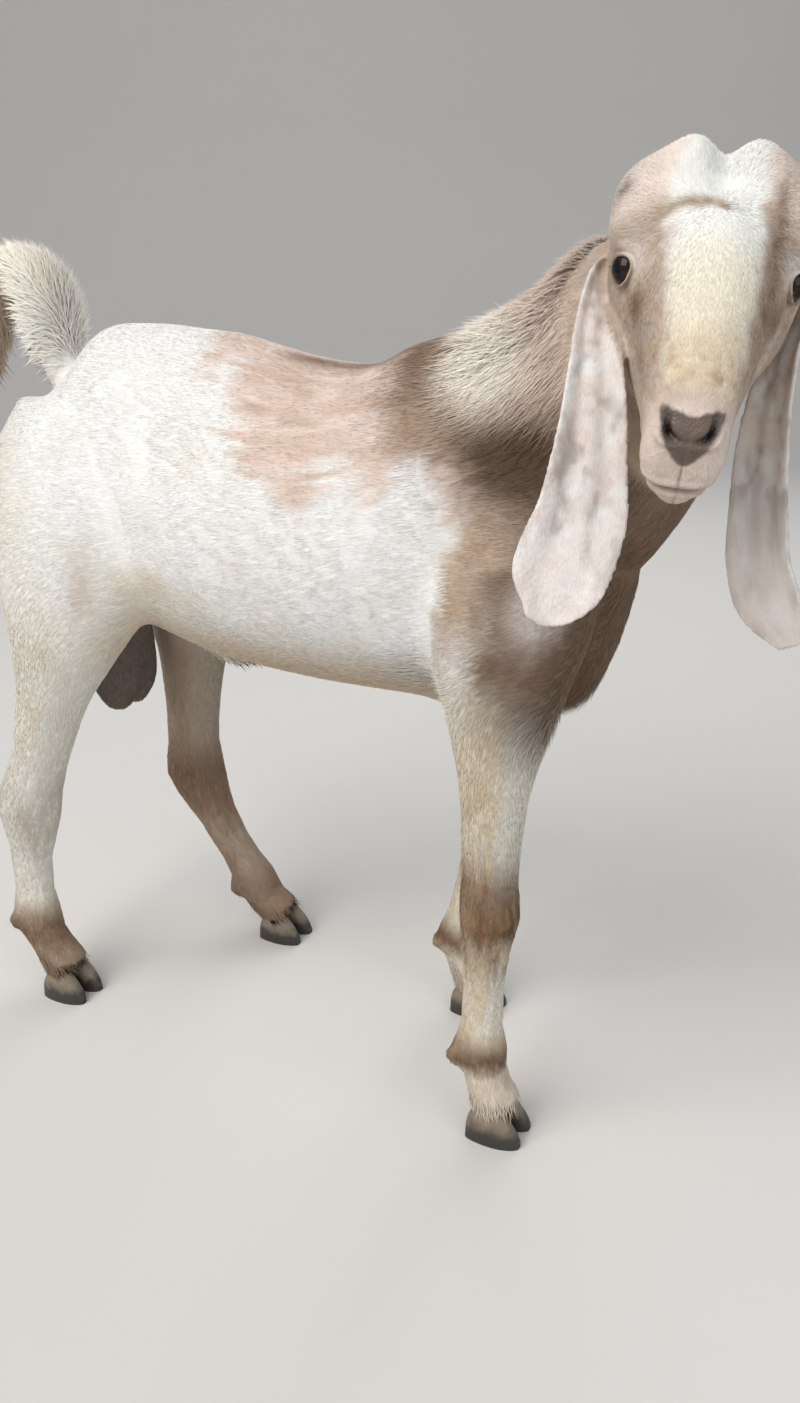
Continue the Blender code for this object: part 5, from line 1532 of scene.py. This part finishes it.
# Dewclaws
# Two small knobs of the same horn as the claws stick out of the hair behind each fetlock. Each is
# an egg shape that leans back, rooted under the hide.
DEWCLAW_SIZE = (0.0052, 0.0048, 0.0068)
DEWCLAW_PLACE = (-0.0160, 0.0105, -0.0100)
DEWCLAW_LEAN = math.radians(28)
DEWCLAW_GRID = (24, 24, 0.02)
DEWCLAW_TONE = 1.6
ball = np.stack(polar(*DEWCLAW_GRID)[2], -1) * DEWCLAW_SIZE
sine, cosine = math.sin(DEWCLAW_LEAN), math.cos(DEWCLAW_LEAN)
leaned = ball.copy()
leaned[..., 0] = ball[..., 0] * cosine + ball[..., 2] * sine
leaned[..., 2] = -ball[..., 0] * sine + ball[..., 2] * cosine
knobs = []
for joints in (FORELEG_RIGHT, FORELEG_LEFT, HINDLEG_RIGHT, HINDLEG_LEFT):
    for side in (-1, 1):
        centre = np.array(joints[3]) + GOAT_ORIGIN + np.array(DEWCLAW_PLACE) * (1, side, 1)
        knobs.append(closed_tube(leaned + centre))
surface, faces = joined(knobs)
knob_mesh = mesh_of("dewclaws", surface, faces)
add_colours(knob_mesh, "horn_tone", np.tile(np.array(HORN) * DEWCLAW_TONE, (len(surface), 1)))
knob_mesh.materials.append(horn)
dewclaws = placed("dewclaws", knob_mesh)
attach(dewclaws, "root")

# Floor and light
# A plain pale studio: a floor that curves up into a wall, a large soft light over the camera's
# left shoulder, weaker ones from the right and from behind the goat, and an even sky.
FLOOR_COLOUR = (0.62, 0.60, 0.57)
SWEEP_BACK = 3.0
SWEEP_RADIUS = 1.2
SWEEP_HALF = 6.0
turn = np.linspace(0, math.pi / 2, 24)
profile = np.concatenate(
    [
        [(-5.0, 0.0), (0.0, 0.0)],
        np.stack([SWEEP_BACK + SWEEP_RADIUS * np.sin(turn), SWEEP_RADIUS * (1 - np.cos(turn))], -1),
        [(SWEEP_BACK + SWEEP_RADIUS, 5.0)],
    ]
)
heading = np.array((-math.sin(CAMERA_HEADING), math.cos(CAMERA_HEADING)))
aside = np.array((heading[1], -heading[0]))
sweep = np.zeros((len(profile), 2, 3))
for k, way in enumerate((-1, 1)):
    sweep[:, k, :2] = profile[:, 0:1] * heading + way * SWEEP_HALF * aside
    sweep[:, k, 2] = profile[:, 1]
index = np.arange(len(profile) * 2).reshape(-1, 2)
a, b, c, d = index[:-1, 0], index[:-1, 1], index[1:, 1], index[1:, 0]
sweep_faces = np.concatenate([np.stack([a, b, c], -1), np.stack([a, c, d], -1)])
floor = placed("floor", mesh_of("floor", sweep.reshape(-1, 3), sweep_faces))
floor.data.materials.append(finish("studio_floor", FLOOR_COLOUR, 0.9, scale=3, strength=0.03))

LIGHTS = [
    ("key_light", (-0.9, -1.9, 2.4), (2.2, 2.2), 78, (1.0, 0.98, 0.95)),
    ("fill_light", (2.2, -1.0, 1.3), (1.8, 1.8), 16, (0.94, 0.97, 1.0)),
    ("back_light", (-0.4, 2.0, 2.2), (1.8, 1.8), 26, (0.97, 0.98, 1.0)),
]
AIM = Vector((0.0, 0.0, 0.4))
for name, place, size, power, colour in LIGHTS:
    lamp = bpy.data.lights.new(name, "AREA")
    lamp.shape = "RECTANGLE"
    lamp.size, lamp.size_y = size
    lamp.energy = power
    lamp.color = colour
    light = placed(name, lamp)
    light.location = place
    light.rotation_euler = (AIM - Vector(place)).to_track_quat("-Z", "Y").to_euler()

SKY = (0.86, 0.90, 0.95)
SKY_STRENGTH = 0.50
world = bpy.data.worlds.new("studio")
world.use_nodes = True
sky = world.node_tree.nodes["Background"]
sky.inputs["Color"].default_value = (*SKY, 1)
sky.inputs["Strength"].default_value = SKY_STRENGTH
bpy.context.scene.world = world
bpy.context.scene.view_settings.view_transform = "Standard"
